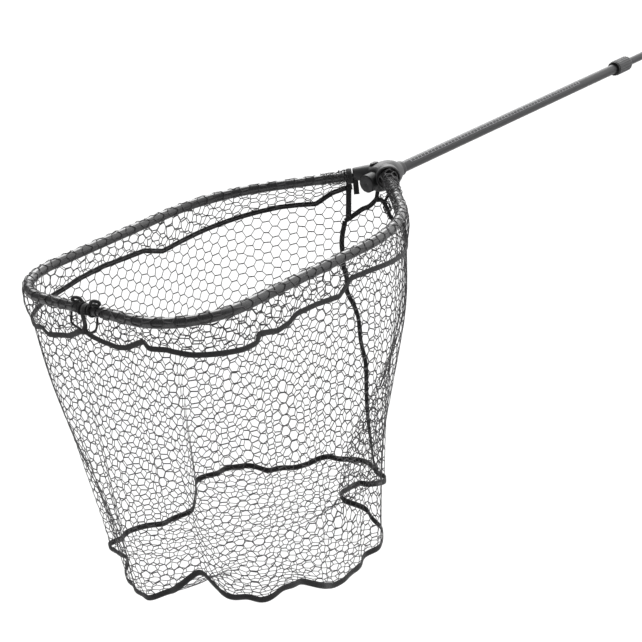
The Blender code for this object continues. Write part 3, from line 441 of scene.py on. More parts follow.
def edge_part(drop):
    """How much of the lower edge's shape the wall shows at a drop."""
    return smooth((drop - EDGE_START) / (BAG_DEPTH - EDGE_START)) ** EDGE_POWER


def wall(u, drop):
    """Points of the bag's wall with its folds."""
    u = np.asarray(u, float)
    drop = np.asarray(drop, float) + 0 * u
    share = share_of(u)
    out = fold_depth(share, drop) + EDGE_KNOTS(share, 1) * edge_part(drop)
    points = wall_plain(u, drop) + square_to(wall_plain, u, drop) * out[..., None]
    points[..., 2] += EDGE_KNOTS(share, 2) * edge_part(drop)
    return points


def rim_drop(u):
    """The drop of the rim tape below the hoop."""
    return RIM_KNOTS(share_of(u))


REAR_U, REAR_DROP = np.array(REAR_EDGE).T / 1000
NET_SIDE_U = REAR_U[-1] - STRAP_WIDTH


def wall_edge(u):
    """The drop at which the wall's netting starts."""
    length = share_of(u) * HALF_RIM
    in_rear = (length >= REAR_U[0]) & (length <= NET_SIDE_U)
    return np.where(in_rear, np.interp(length, REAR_U, REAR_DROP), rim_drop(u))


def linked(name, data):
    """A new object in the scene."""
    obj = bpy.data.objects.new(name, data)
    bpy.context.scene.collection.objects.link(obj)
    return obj


def mesh_from(form, name):
    """A new mesh of a form, which is freed."""
    mesh = bpy.data.meshes.new(name)
    form.to_mesh(mesh)
    form.free()
    return mesh


def mesh_object(name, points, faces, uvs=None):
    """A smooth mesh object of these points and faces, with a UV map in metres where one is given."""
    mesh = bpy.data.meshes.new(name)
    mesh.from_pydata([tuple(point) for point in points], [], faces)
    if uvs is not None:
        layer = mesh.uv_layers.new(name="tape")
        layer.data.foreach_set("uv", np.asarray(uvs, float).ravel())
    form = bmesh.new()
    form.from_mesh(mesh)
    if uvs is None:
        bmesh.ops.remove_doubles(form, verts=form.verts, dist=1e-6)
    bmesh.ops.recalc_face_normals(form, faces=form.faces)
    form.to_mesh(mesh)
    form.free()
    mesh.shade_smooth()
    return linked(name, mesh)


def merged(name, parts):
    """One object of several swept parts."""
    points = []
    faces = []
    uvs = []
    for part_points, part_faces, part_uvs in parts:
        first = sum(len(group) for group in points)
        points.append(part_points)
        faces += [tuple(first + corner for corner in face) for face in part_faces]
        uvs += part_uvs
    return mesh_object(name, np.concatenate(points), faces, uvs)


CORNERS = ((0, -1), (1, -1), (2, 0), (1, 1), (0, 1), (-1, 0))
SIDE_HALVES = np.array([FLAT_STRAND, LEG_STRAND, LEG_STRAND] * 2)


def netting(name, columns, half_rows, surface, edge, pitch=CELL_PITCH, row=CELL_ROW, closed=False,
            jitter=CELL_JITTER, left_out=None, cuts=1):
    """Knotless netting of hexagonal cells on a surface of two lengths, with double strands across."""
    flat = FLAT_HALF * pitch / CELL_PITCH
    around = 2 * columns if closed else None
    shift = {}
    cells = []
    for i in range(columns):
        for c in range(half_rows[0] + (i + half_rows[0]) % 2, half_rows[1] + 1, 2):
            if left_out is None or not left_out(i * pitch, c * row / 2):
                cells.append((i, c))
    keys = []
    places = []
    for i, c in cells:
        for dk, dm in CORNERS:
            k = 2 * i + dk
            m = c + dm
            key = (k % around if closed else k, m)
            if key not in shift:
                shift[key] = RANDOM.normal(0, jitter, 2)
            keys.append(key)
            x = (k // 2) * pitch + (flat if k % 2 else -flat)
            places.append((x + shift[key][0], m * row / 2 + shift[key][1]))
    places = edge(np.array(places)).reshape(-1, 6, 2)
    holes, kept = mitred(places)
    rings = [keys[6 * n:6 * n + 6] for n in range(len(cells))]
    return strands(name, *divided(rings, places, holes, cuts), kept, surface)


def mitred(places):
    """The corners of each cell's hole, half a strand inside its sides, and which cells are open enough."""
    sides = np.roll(places, -1, axis=1) - places
    lengths = np.linalg.norm(sides, axis=2, keepdims=True)
    inward = np.stack([-sides[..., 1], sides[..., 0]], axis=-1) / np.maximum(lengths, 1e-9)
    before = np.roll(inward, 1, axis=1)
    half_before = np.roll(SIDE_HALVES, 1)
    cross = before[..., 0] * inward[..., 1] - before[..., 1] * inward[..., 0]
    steep = abs(cross) > LEAST_TURN
    safe = np.where(steep, cross, 1)
    offset_x = (half_before * inward[..., 1] - SIDE_HALVES * before[..., 1]) / safe
    offset_y = (SIDE_HALVES * before[..., 0] - half_before * inward[..., 0]) / safe
    offset = np.stack([offset_x, offset_y], axis=-1)
    plain = (before * half_before[:, None] + inward * SIDE_HALVES[:, None]) / 2
    offset = np.where(steep[..., None], offset, plain)
    centres = places.mean(axis=1, keepdims=True)
    room = ((centres - places) * inward).sum(axis=2) - SIDE_HALVES
    kept = ((lengths[..., 0] < LEAST_SIDE) | (room > LEAST_HOLE)).all(axis=1)
    kept &= np.linalg.norm(offset, axis=2).max(axis=1) < LONGEST_MITRE
    return places + offset, kept


def divided(rings, places, holes, cuts):
    """The same cells with each side in several cuts, so that the strands can follow a bent surface."""
    part = np.arange(cuts)[:, None] / cuts
    refined = []
    for points in (places, holes):
        sides = np.roll(points, -1, axis=1) - points
        refined.append((points[:, :, None] + sides[:, :, None] * part).reshape(len(points), -1, 2))
    keys = []
    for ring in rings:
        row = []
        for first, second in zip(ring, ring[1:] + ring[:1]):
            row.append((first, first, 0))
            low, high = min(first, second), max(first, second)
            row += [(low, high, i if first == low else cuts - i) for i in range(1, cuts)]
        keys.append(row)
    return keys, *refined


def strands(name, keys, places, holes, kept, surface):
    """The solid strands between the holes of the kept cells."""
    sides = places.shape[1]
    corner_place = {}
    for n in np.flatnonzero(kept):
        for key, place in zip(keys[n], places[n]):
            corner_place.setdefault(key, place)
    number = {key: i for i, key in enumerate(corner_place)}
    corner = np.array(list(corner_place.values()))
    hole = holes[kept].reshape(-1, 2)
    points = []
    for place, height in ((corner, STRAND_HEIGHT), (hole, STRAND_HEIGHT / 2)):
        on = surface(place[:, 0], place[:, 1])
        out = square_to(surface, place[:, 0], place[:, 1])
        points += [on + out * height, on - out * height]
    low = len(corner)
    upper_hole = 2 * low
    lower_hole = upper_hole + len(hole)
    faces = []
    used = {}
    for cell, n in enumerate(np.flatnonzero(kept)):
        ring = [number[key] for key in keys[n]]
        for j in range(sides):
            a, b = ring[j], ring[(j + 1) % sides]
            p, q = sides * cell + j, sides * cell + (j + 1) % sides
            faces.append((a, b, upper_hole + q, upper_hole + p))
            faces.append((upper_hole + p, upper_hole + q, lower_hole + q, lower_hole + p))
            faces.append((lower_hole + p, lower_hole + q, low + b, low + a))
            used.setdefault((min(a, b), max(a, b)), []).append((a, b))
    for pairs in used.values():
        if len(pairs) == 1:
            a, b = pairs[0]
            faces.append((a, low + a, low + b, b))
    return mesh_object(name, np.concatenate(points), faces)


def fitted_pitch(length, usual=CELL_PITCH):
    """A cell pitch near the usual one that fills a closed length with an even count, and that count."""
    count = 2 * round(length / usual / 2)
    return length / count, count


def wall_netting():
    """The bag's wall, from the rim tape and the notch down to the floor tape."""
    pitch, count = fitted_pitch(2 * HALF_RIM)
    half_rows = math.ceil(2 * BAG_DEPTH / CELL_ROW)

    def edge(places):
        length = share_of(places[:, 0]) * HALF_RIM
        sideways = NET_SIDE_U - length
        beside = (sideways > 0) & (length > 0) & (sideways < wall_edge(places[:, 0]) - places[:, 1])
        places[:, 0] += np.where(beside, sideways, 0)
        top = np.where(beside, rim_drop(places[:, 0]), wall_edge(places[:, 0]))
        places[:, 1] = np.clip(places[:, 1], top, BAG_DEPTH)
        return places

    def in_notch(u, drop):
        length = share_of(u) * HALF_RIM
        return REAR_U[0] < length < NET_SIDE_U and drop < wall_edge(u) - NOTCH_MARGIN

    return netting("netting_wall", count, (0, half_rows), wall, edge, pitch, closed=True, left_out=in_notch)


def evened(values, reach=6):
    """Values round a closed line, each the mean of those near it."""
    return np.mean([np.roll(values, step) for step in range(-reach, reach + 1)], axis=0)


def floor_edge():
    """The floor's centre, and the angle, reach and height of its edge round that centre."""
    u = np.linspace(-HALF_RIM, HALF_RIM, EDGE_STEPS, endpoint=False)
    edge = wall(u, np.full(u.shape, BAG_DEPTH))
    centre = edge.mean(axis=0)
    arm = edge - centre
    angle = np.arctan2(arm[:, 1], arm[:, 0])
    order = np.argsort(angle)
    reach = np.hypot(arm[:, 0], arm[:, 1])[order]
    return centre, angle[order], evened(reach), evened(edge[order, 2])


FLOOR_CENTRE, EDGE_ANGLE, EDGE_REACH, EDGE_HEIGHT = floor_edge()


def floor_surface(x, y):
    """Points of the sagging floor over places in plan."""
    angle = np.arctan2(y - FLOOR_CENTRE[1], x - FLOOR_CENTRE[0])
    reach = np.hypot(x - FLOOR_CENTRE[0], y - FLOOR_CENTRE[1])
    share = reach / np.interp(angle, EDGE_ANGLE, EDGE_REACH, period=2 * math.pi)
    edge = np.interp(angle, EDGE_ANGLE, EDGE_HEIGHT, period=2 * math.pi)
    level = NET_TOP - BAG_DEPTH
    sag = BAG_SAG * (1 - np.clip(share, 0, 1) ** 3)
    (wave_x, phase_x), (wave_y, phase_y) = FLOOR_WAVES
    lumps = FLOOR_LUMP * np.sin(wave_x * x + phase_x) * np.sin(wave_y * y + phase_y)
    lumps = lumps * np.clip(1 - share, 0, 1)
    return np.stack([x, y, level + (edge - level) * share ** 2 - sag + lumps], axis=-1)


def floor_netting():
    """The bag's floor, cut to the wall's lower edge."""
    reach = EDGE_REACH.max() + CELL_PITCH
    columns = 2 * math.ceil(reach / CELL_PITCH)
    half_rows = 2 * math.ceil(reach / CELL_ROW)
    corner = FLOOR_CENTRE[:2] - np.array([columns / 2 * CELL_PITCH, 0])

    def surface(u, v):
        return floor_surface(u + corner[0], v + corner[1])

    def edge(places):
        arm = places + corner - FLOOR_CENTRE[:2]
        angle = np.arctan2(arm[:, 1], arm[:, 0])
        most = np.interp(angle, EDGE_ANGLE, EDGE_REACH, period=2 * math.pi)
        shrink = np.minimum(1, most / np.maximum(np.hypot(arm[:, 0], arm[:, 1]), 1e-9))
        return arm * shrink[:, None] + FLOOR_CENTRE[:2] - corner

    return netting("netting_floor", columns, (-half_rows, half_rows), surface, edge)


def arm_lines(side, length):
    """The centre points of an arm at lengths from its root, and the directions along and out of the hoop."""
    length = np.clip(np.asarray(length, float), 0, ARM_LENGTH)
    step = 0.002
    ahead = ARM_RUN(np.minimum(length + step, ARM_LENGTH)) - ARM_RUN(np.maximum(length - step, 0))
    ahead /= np.linalg.norm(ahead, axis=-1, keepdims=True)
    plan = ARM_RUN(length)
    centre = np.stack([plan[..., 0], side * plan[..., 1], HOOP_RISE + 0 * length], axis=-1)
    along = np.stack([ahead[..., 0], side * ahead[..., 1], 0 * length], axis=-1)
    outward = np.stack([ahead[..., 1], -side * ahead[..., 0], 0 * length], axis=-1)
    return centre, along, outward


def rim_surface(side, start, gather):
    """The netting that is folded over one arm, with both its legs drawn to the rim tape."""
    over = math.pi * SLEEVE_RADIUS

    def surface(u, w):
        u = np.asarray(u, float)
        w = np.asarray(w, float) + 0 * u
        drawn = gather * (1 - np.exp(-np.maximum(u, 0) / SOCKET_GATHER_REACH))
        length = np.clip(start + u - drawn, 0, ARM_LENGTH)
        tube, _, outward = arm_lines(side, length)
        rim = side * (HALF_RIM - (ARM_LENGTH - length))
        foot = wall(rim, rim_drop(rim))
        bend = np.clip((w - LEG_LENGTH) / SLEEVE_RADIUS, 0, math.pi)[..., None]
        bunch = (BUNCH_RADIUS - SLEEVE_RADIUS) * np.exp(-((length - start) / BUNCH_LENGTH) ** 2)
        lump = SLEEVE_LUMP * np.sin(SLEEVE_WAVES[0] * length + SLEEVE_WAVES[1] * w / SLEEVE_RADIUS)
        puff = (SLEEVE_RADIUS + bunch + lump)[..., None]
        round_tube = tube + puff * (-np.cos(bend) * outward + np.sin(bend) * UP)
        below = np.clip(np.maximum(LEG_LENGTH - w, w - LEG_LENGTH - over) / LEG_LENGTH, 0, 1)[..., None]
        inner = (w < LEG_LENGTH)[..., None]
        slack = LEG_SLACK * np.sin(below * math.pi) * np.where(inner, -1, 1)
        return round_tube * (1 - below) + foot * below + outward * slack

    return surface, 2 * LEG_LENGTH + over


def hose(side, name, start, end):
    """The smooth hose round one arm, under the netting."""
    centre, _, outward = arm_lines(side, np.linspace(start, ARM_LENGTH - end, HOSE_STEPS))
    return merged(name, [swept(centre, outward, round_section(HOSE_RADIUS, 24))])


def rim_netting(side, name, start, end, gather):
    """The netting on one arm."""
    surface, width = rim_surface(side, start, gather)
    length = ARM_LENGTH - end - start + gather
    columns = round(length / CELL_PITCH)
    half_rows = round(2 * width / CELL_ROW)

    def edge(places):
        return np.clip(places, 0, (length, width))

    return netting(name, columns + 1, (0, half_rows), surface, edge, length / columns,
                   jitter=0.0014, cuts=4)


def bunched_netting(name, side, stations, radii):
    """Netting that is bunched up round an arm, with the given radii at lengths from the arm's root."""
    pitch, count = fitted_pitch(TURN * np.mean(radii), BUNCH_PITCH)
    depth = stations[-1] - stations[0]

    def surface(u, w):
        w = np.asarray(w, float) + 0 * np.asarray(u, float)
        angle = np.asarray(u, float) / (pitch * count) * TURN
        length = stations[0] + np.clip(w, 0, depth)
        centre, _, outward = arm_lines(side, length)
        lump = sum(high * np.sin(lobes * angle + twist * length) for high, lobes, twist in BUNCH_LUMPS)
        radius = (np.interp(length, stations, radii) + lump)[..., None]
        angle = angle[..., None]
        return centre + radius * (np.cos(angle) * outward + np.sin(angle) * UP)

    def edge(places):
        return np.clip(places, (-np.inf, 0), (np.inf, depth))

    half_rows = math.ceil(2 * depth / pitch)
    return netting(name, count, (0, half_rows), surface, edge, pitch, row=pitch, closed=True,
                   jitter=0.0011, cuts=3)


def gathered_netting():
    """The gathered netting between the end of the notch and the right arm, down to the edge strap."""
    first, last = GATHER_SPAN
    strap_u, strap_drop = np.array(EDGE_STRAP_LINE[::-1]).T / 1000
    half_rows = math.ceil(2 * strap_drop.max() / GATHER_ROW)
    columns = round((last - first) / GATHER_PITCH) + 1

    def surface(u, drop):
        return on_wall(first + u, drop, GATHER_LAYER)[0]

    def edge(places):
        places[:, 0] = np.clip(places[:, 0], 0, last - first)
        u = first + places[:, 0]
        places[:, 1] = np.clip(places[:, 1], wall_edge(u), np.interp(u, strap_u, strap_drop))
        return places

    return netting("netting_gather", columns, (0, half_rows), surface, edge, GATHER_PITCH, GATHER_ROW)


def flat_section(width, thickness, steps=10):
    """The outline of a tape with round edges: across it and out of it."""
    angles = TURN * (np.arange(steps) + 0.5) / steps
    way = np.stack([np.cos(angles), np.sin(angles)], axis=1)
    return np.sign(way) * abs(way) ** TAPE_SHARPNESS * (width, thickness) / 2


def round_section(radius, steps=8):
    """The outline of a cord."""
    angles = TURN * np.arange(steps) / steps
    return np.stack([np.cos(angles), np.sin(angles)], axis=1) * radius


def unit(vectors):
    """Vectors of length one."""
    return vectors / np.maximum(np.linalg.norm(vectors, axis=-1, keepdims=True), 1e-12)


def swept(points, out, section, closed=False):
    """The points, faces and UVs in metres of a section that is carried along points, square to out."""
    points = np.asarray(points, float)
    out = np.asarray(out, float) + 0 * points
    count, around = len(points), len(section)
    if closed:
        ahead = np.roll(points, -1, axis=0) - np.roll(points, 1, axis=0)
    else:
        ahead = np.gradient(points, axis=0)
    across = unit(np.cross(ahead, out))
    out = unit(np.cross(across, ahead))
    rows = points[:, None] + across[:, None] * section[None, :, :1] + out[:, None] * section[None, :, 1:]
    following = np.roll(points, -1, axis=0) if closed else points[1:]
    steps = np.linalg.norm(following - points[:len(following)], axis=1)
    lengths = np.concatenate(([0], np.cumsum(steps)))
    faces = []
    uvs = []
    for i in range(count if closed else count - 1):
        after = (i + 1) % count * around
        for j in range(around):
            k = (j + 1) % around
            faces.append((i * around + j, after + j, after + k, i * around + k))
            uvs += [(lengths[i], section[j, 0]), (lengths[i + 1], section[j, 0]),
                    (lengths[i + 1], section[k, 0]), (lengths[i], section[k, 0])]
    if not closed:
        last = (count - 1) * around
        faces += [tuple(range(around)), tuple(last + j for j in reversed(range(around)))]
        uvs += [(0, across) for across in section[:, 0]]
        uvs += [(lengths[-1], across) for across in section[::-1, 0]]
    return rows.reshape(-1, 3), faces, uvs


def curve_through(knots, count=40):
    """Points on a smooth curve through knots."""
    knots = np.asarray(knots, float)
    extended = np.concatenate([[2 * knots[0] - knots[1]], knots, [2 * knots[-1] - knots[-2]]])
    points = []
    for place in np.linspace(0, len(knots) - 1, count):
        i = min(int(place), len(knots) - 2)
        t = place - i
        a, b, c, d = extended[i:i + 4]
        bend = (2 * a - 5 * b + 4 * c - d) * t + (3 * b - a - 3 * c + d) * t * t
        points.append(b + 0.5 * t * ((c - a) + bend))
    return np.array(points)


def cord(knots, radius):
    """A cord on a smooth curve through knots."""
    points = curve_through(knots)
    ahead = unit(np.gradient(points, axis=0))
    out = [unit(np.cross(ahead[0], ANY_SIDE))]
    for direction in ahead[1:]:
        out.append(unit(out[-1] - direction * out[-1].dot(direction)))
    return swept(points, np.array(out), round_section(radius))


def ring_points(centre, axis, radius, count=32):
    """Points and outward directions round an axis."""
    axis = unit(np.asarray(axis, float))
    first = unit(np.cross(axis, UP))
    second = np.cross(first, axis)
    angles = TURN * np.arange(count)[:, None] / count
    out = np.cos(angles) * first + np.sin(angles) * second
    return np.asarray(centre) + out * radius, out


def looped_strap(name, centre, axis, radius, foot):
    """A strap that goes round a tube and runs down to its foot on the bag."""
    axis = unit(np.asarray(axis, float))
    section = flat_section(STRAP_WIDTH, STRAP_THICKNESS)
    radius += STRAP_THICKNESS / 2
    points, out = ring_points(centre, axis, radius)
    side = unit(np.cross(axis, foot - centre))
    side *= math.copysign(1, side[0] * axis[1])
    start = centre + side * radius
    part = np.linspace(0, 1, STRAP_STEPS)[:, None]
    sag = STRAP_SAG * np.sin(part * math.pi * STRAP_WAVES)
    line = start + (foot - start) * part + side * sag
    return merged(name, [swept(points, out, section, True), swept(line, side, section)])


def on_wall(u, drop, layer):
    """Points a little outside the wall, and the wall's directions there."""
    u = np.asarray(u, float)
    drop = np.asarray(drop, float) + 0 * u
    out = square_to(wall, u, drop)
    return wall(u, drop) + out * layer, out


def line_on_wall(knots, layer, count=90):
    """Points a little outside the wall along knots of length and drop in millimetres, and its directions."""
    line = curve_through(np.array(knots) / 1000, count)
    return on_wall(line[:, 0], line[:, 1], layer)


def tapes():
    """The tapes sewn on the bag."""
    tape = flat_section(TAPE_WIDTH, TAPE_THICKNESS)
    wide_tape = flat_section(FLOOR_TAPE_WIDTH, TAPE_THICKNESS)
    u = np.linspace(RIM_LINE[0][0] * HALF_RIM, 2 * HALF_RIM + REAR_U[0], RIM_TAPE_STEPS)
    around = np.linspace(0, 2 * HALF_RIM, FLOOR_TAPE_STEPS, endpoint=False)
    notch = [knot for knot in REAR_EDGE[::-1] if knot[0] > NOTCH_END[0][0]]
    pieces = {
        "rim": swept(*on_wall(u, rim_drop(u), TAPE_LAYER), tape),
        "floor": swept(*on_wall(around, BAG_DEPTH - FLOOR_TAPE_LIFT, TAPE_LAYER), wide_tape, True),
        "notch": swept(*line_on_wall((*notch, *NOTCH_END), NOTCH_TAPE_LAYER), tape),
        "seam": swept(*line_on_wall(SEAM_LINE, TAPE_LAYER), tape),
    }
    for name, part in pieces.items():
        finish_piece(merged("tape_" + name, [part]), "webbing", name + "_tape")


def edge_strap():
    """The strap at the right end of the notch with its slider, and the short strap that holds it."""
    points, out = line_on_wall(EDGE_STRAP_LINE, STRAP_LAYER)
    hold = line_on_wall(HOLD_STRAP_LINE, STRAP_LAYER, count=16)
    parts = [
        swept(points, out, flat_section(EDGE_STRAP_WIDTH, STRAP_THICKNESS)),
        swept(*hold, flat_section(HOLD_STRAP_WIDTH, TAPE_THICKNESS)),
    ]
    finish_piece(merged("strap_edge", parts), "webbing", "edge_strap")
    ahead = unit(points[SLIDER_STEP + 2] - points[SLIDER_STEP - 2])
    slider(points[SLIDER_STEP], ahead, out[SLIDER_STEP])


def slider(place, ahead, facing):
    """The wire slider on the edge strap: a frame with a middle bar."""
    middle = place + facing * SLIDER_LIFT
    along = ahead * SLIDER_HALF[0]
    across = np.cross(ahead, facing) * SLIDER_HALF[1]
    corners = np.array([along * a + across * b for a, b in ((-1, -1), (1, -1), (1, 1), (-1, 1))])
    loop = []
    for corner, following in zip(corners, np.roll(corners, -1, axis=0)):
        loop += [middle + corner + (following - corner) * part for part in SLIDER_SIDE]
    section = flat_section(*SLIDER_WIRE)
    bar = [middle - across, middle, middle + across]
    wires = [swept(loop, facing, section, True), swept(bar, facing, section)]
    finish_piece(merged("strap_slider", wires), "black_plastic")


def strap_foot(u, drop):
    """The point where a strap or a cord meets the bag."""
    return on_wall(np.array([u]), np.array([drop]), STRAP_LAYER)[0][0]


def strap_end():
    """The tail that hangs under the neck, with its end folded up."""
    top, along, outward = arm_lines(1, NECK_LENGTH - TAIL_SETBACK)
    part = np.linspace(0, 1, TAIL_STEPS)[:, None]
    wave = outward * TAIL_WAVE * np.sin(TAIL_WAVES * part)
    line = top - UP * TAIL_DROP - UP * TAIL_LENGTH * part + along * TAIL_LEAN * part + wave
    fold = curve_through([line[step] + outward * away for step, away in TAIL_FOLD], 12)
    section = flat_section(STRAP_WIDTH, STRAP_THICKNESS)
    return merged("strap_end", [swept(line, outward, section), swept(fold, outward, section)])


def straps():
    """The straps at the head and at the tip."""
    centre, along, _ = arm_lines(1, NECK_LENGTH + HEAD_STRAP_GAP)
    foot = strap_foot(*HEAD_STRAP_FOOT)
    strap = looped_strap("strap_head", centre, along, BUNCH_RADIUS + HEAD_STRAP_CLEARANCE, foot)
    finish_piece(strap, "webbing", "head_strap")
    finish_piece(strap_end(), "webbing", "strap_tail")
    tip = np.array([TIP, 0, HOOP_RISE])
    foot = strap_foot(HALF_RIM, rim_drop(HALF_RIM))
    finish_piece(looped_strap("strap_tip", tip, (0, -1, 0), JOINER_RADIUS, foot), "webbing", "front_strap")


def ties():
    """The two cord ties beside the tip strap, each with its knot loop and its leg to the rim tape."""
    reach = JOINER_RADIUS + CORD_RADIUS
    for side, name in SIDES:
        centre = np.array([TIP, side * TIE_SPREAD, HOOP_RISE])
        ring = ring_points(centre, (0, 1, TIE_LEAN * side), reach)
        loop = centre + UP * reach + np.array(TIE_LOOP) * (side, side, 1)
        rim = HALF_RIM - side * TIE_FOOT_SPREAD
        foot = strap_foot(rim, rim_drop(rim) - TIE_FOOT_LIFT)
        ahead, below = TIE_LEG_TURN
        start = np.array([TIP - reach * ahead, side * TIE_LEG_SPREAD, HOOP_RISE - reach * below])
        middle = start * (1 - TIE_BEND_SHARE) + foot * TIE_BEND_SHARE
        middle += np.array(TIE_LEG_BEND) * (1, side, 1)
        parts = [
            swept(*ring, round_section(CORD_RADIUS), True),
            cord(loop, LOOP_RADIUS),
            cord([start, middle, foot], CORD_RADIUS),
        ]
        finish_piece(merged("tie_" + name, parts), "webbing", "tie_loop_" + name)


def lathe(profile, steps=48):
    """The points and faces of a closed form turned round the handle's axis from (x, radius) pairs."""
    angles = TURN * np.arange(steps) / steps
    points = [(x, r * math.cos(a), r * math.sin(a)) for x, r in profile for a in angles]
    faces = []
    for i in range(len(profile) - 1):
        for j in range(steps):
            k = (j + 1) % steps
            faces.append((i * steps + j, i * steps + k, (i + 1) * steps + k, (i + 1) * steps + j))
    faces.append(tuple(range(steps)))
    faces.append(tuple((len(profile) - 1) * steps + j for j in reversed(range(steps))))
    return points, faces


def hull(rings):
    """A mesh that wraps rings of points."""
    form = bmesh.new()
    for point in np.concatenate(rings):
        form.verts.new(point)
    made = bmesh.ops.convex_hull(form, input=form.verts)
    spare = set(made["geom_interior"] + made["geom_unused"]).intersection(form.verts)
    bmesh.ops.delete(form, geom=list(spare), context="VERTS")
    return mesh_from(form, "hull")


def applied(obj):
    """Apply an object's modifiers to its mesh."""
    depsgraph = bpy.context.evaluated_depsgraph_get()
    obj.data = bpy.data.meshes.new_from_object(obj.evaluated_get(depsgraph))
    obj.modifiers.clear()


def cut(obj, tool):
    """Cut a tool out of an object and remove the tool."""
    modifier = obj.modifiers.new("cut", "BOOLEAN")
    modifier.operation = "DIFFERENCE"
    modifier.object = tool
    applied(obj)
    bpy.data.objects.remove(tool)


def head_solid():
    """The head's outer form: hub, left neck and right socket, blended into each other."""
    hub = mesh_object("hub", *lathe([(HUB_REAR + x, r) for x, r in HUB_PROFILE]))
    neck, neck_along, _ = arm_lines(1, NECK_LENGTH)
    root, root_along, _ = arm_lines(1, NECK_ROOT)
    hub_ring = np.array([HUB_REAR + HUB_RING[0], HUB_RING[1], 0])
    web = hull([
        ring_points(neck + UP * NECK_LIFT, neck_along, NECK_END_RADIUS)[0],
        ring_points(root, root_along, NECK_ROOT_RADIUS)[0],
        ring_points(hub_ring, (1, 0, 0), HUB_RING_RADIUS)[0],
    ])
    mouth, along, _ = arm_lines(-1, SOCKET_LENGTH)
    socket = hull([
        ring_points(mouth, along, SOCKET_RADIUS)[0],
        ring_points(mouth - along * SOCKET_DEPTH, along, SOCKET_RADIUS - SOCKET_TAPER)[0],
    ])
    form = bmesh.new()
    for mesh in (hub.data, web, socket):
        form.from_mesh(mesh)
    shell = linked("head_shell", mesh_from(form, "head_shell"))
    bpy.data.objects.remove(hub)
    remesh = shell.modifiers.new("remesh", "REMESH")
    remesh.mode = "VOXEL"
    remesh.voxel_size = SHELL_VOXEL
    soften = shell.modifiers.new("soften", "SMOOTH")
    soften.iterations = SHELL_SMOOTHING
    applied(shell)
    return shell


def rod_between(start, end, radius):
    """A round cutting tool from one point to another."""
    start = np.asarray(start, float)
    end = np.asarray(end, float)
    return linked("tool", hull([ring_points(place, end - start, radius)[0] for place in (start, end)]))


def button_oval(margin):
    """Points in plan round the release button, a margin outside it."""
    middle, half = box_of("release_button")
    return middle[:2] + round_section(1, OVAL_STEPS) * (half[:2] + margin)


def moulded_shell():
    """The head's two mouldings as one blended form, with its bores, button pocket and screw holes."""
    shell = head_solid()
    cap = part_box("stop_cap")[1]
    front = (HUB_REAR + PAST_FRONT, 0, 0)
    cut(shell, rod_between((HUB_REAR + PAST_REAR, 0, 0), front, HANDLE_BORE))
    cut(shell, rod_between((cap.x + CAP_GAP, 0, 0), front, cap.z + CAP_CLEARANCE))
    mouth, along, _ = arm_lines(-1, SOCKET_LENGTH)
    deep, clear = mouth - along * SOCKET_POCKET, mouth + along * PAST_MOUTH
    cut(shell, rod_between(deep, clear, SOCKET_RADIUS - SOCKET_WALL))
    plan = button_oval(BUTTON_CLEARANCE)
    levels = (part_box("release_button")[0].z - BUTTON_ROOM, PAST_TOP)
    cut(shell, linked("tool", hull([np.insert(plan, 2, level, axis=1) for level in levels])))
    for number in range(1, SCREW_COUNT + 1):
        (x, y, _), (radius, _, _) = box_of(f"cover_screw_{number}")
        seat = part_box(f"cover_screw_{number}")[0].z + SCREW_SEAT
        cut(shell, rod_between((x, y, seat), (x, y, PAST_BOTTOM), radius + SCREW_CLEARANCE))
    shell.data.shade_smooth()
    shell.data.set_sharp_from_angle(angle=math.radians(SHELL_SHARP))
    finish_piece(shell, "moulded", "head_body", "head_cover")


def head_trim():
    """The black ring round the button, a black ring at the right socket's mouth and the stop cap's grey
    face.
    """
    plan = button_oval(RING_MARGIN)
    height = np.sqrt(RING_ARC ** 2 - plan[:, 1] ** 2)
    points = np.column_stack([plan, height])
    out = unit(points * (0, 1, 1))
    ring = merged("button_ring", [swept(points, out, flat_section(*RING_SECTION), True)])
    finish_piece(ring, "black_plastic")
    # A black ring round the mouth of the right socket, darker than the moulding round it.
    centre, along, _ = arm_lines(-1, SOCKET_LENGTH)
    around = ring_points(centre, along, SOCKET_RADIUS - DARK_RING_INSET)
    dark_ring = merged("socket_dark_ring", [swept(*around, round_section(DARK_RING_RADIUS), True)])
    finish_piece(dark_ring, "black_plastic")
    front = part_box("stop_cap")[0].x
    face = mesh_object("cap_face", *lathe([(front + x, radius) for x, radius in CAP_FACE]))
    finish_piece(face, "moulded", body="handle_front")


def spring():
    """The coil spring under the stirrup, which shortens when the button is pressed."""
    low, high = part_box("button_spring")
    middle = (low.x + high.x) / 2
    turn = np.linspace(0, TURN * SPRING_TURNS, SPRING_STEPS * SPRING_TURNS + 1)
    rise = np.linspace(low.z + SPRING_WIRE, high.z - SPRING_WIRE, len(turn))
    out = np.column_stack([np.cos(turn), np.sin(turn), 0 * turn])
    points = out * (high.y - SPRING_WIRE) + np.column_stack([0 * turn + middle, 0 * turn, rise])
    coil = merged("spring_coil", [swept(points, out, round_section(SPRING_WIRE))])
    finish_piece(coil, "steel", "button_spring")
    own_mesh(coil)


def on_tube(x, angle, height):
    """Points over the front tube at degrees from its top towards the right."""
    angle = np.radians(np.asarray(angle, float))
    out = np.stack([0 * angle, -np.sin(angle), np.cos(angle)], axis=-1)
    place = out * (TUBE_RADIUS + height)
    place[..., 0] = x
    return place, out


def digits(number, x):
    """The flat outlines of a number, wrapped on the front tube."""
    curve = bpy.data.curves.new("digits", "FONT")
    curve.body = str(number)
    curve.size = DIGIT_SIZE
    curve.align_x = "CENTER"
    letters = bpy.data.objects.new("digits", curve)
    mesh = bpy.data.meshes.new_from_object(letters)
    flat = np.array([tuple(vertex.co) for vertex in mesh.vertices])
    points, _ = on_tube(x + flat[:, 0], -np.degrees(flat[:, 1] / TUBE_RADIUS), DIGIT_LIFT)
    faces = [tuple(face.vertices) for face in mesh.polygons]
    uvs = [(0, 0) for face in faces for corner in face]
    bpy.data.objects.remove(letters)
    bpy.data.curves.remove(curve)
    bpy.data.meshes.remove(mesh)
    return points, faces, uvs


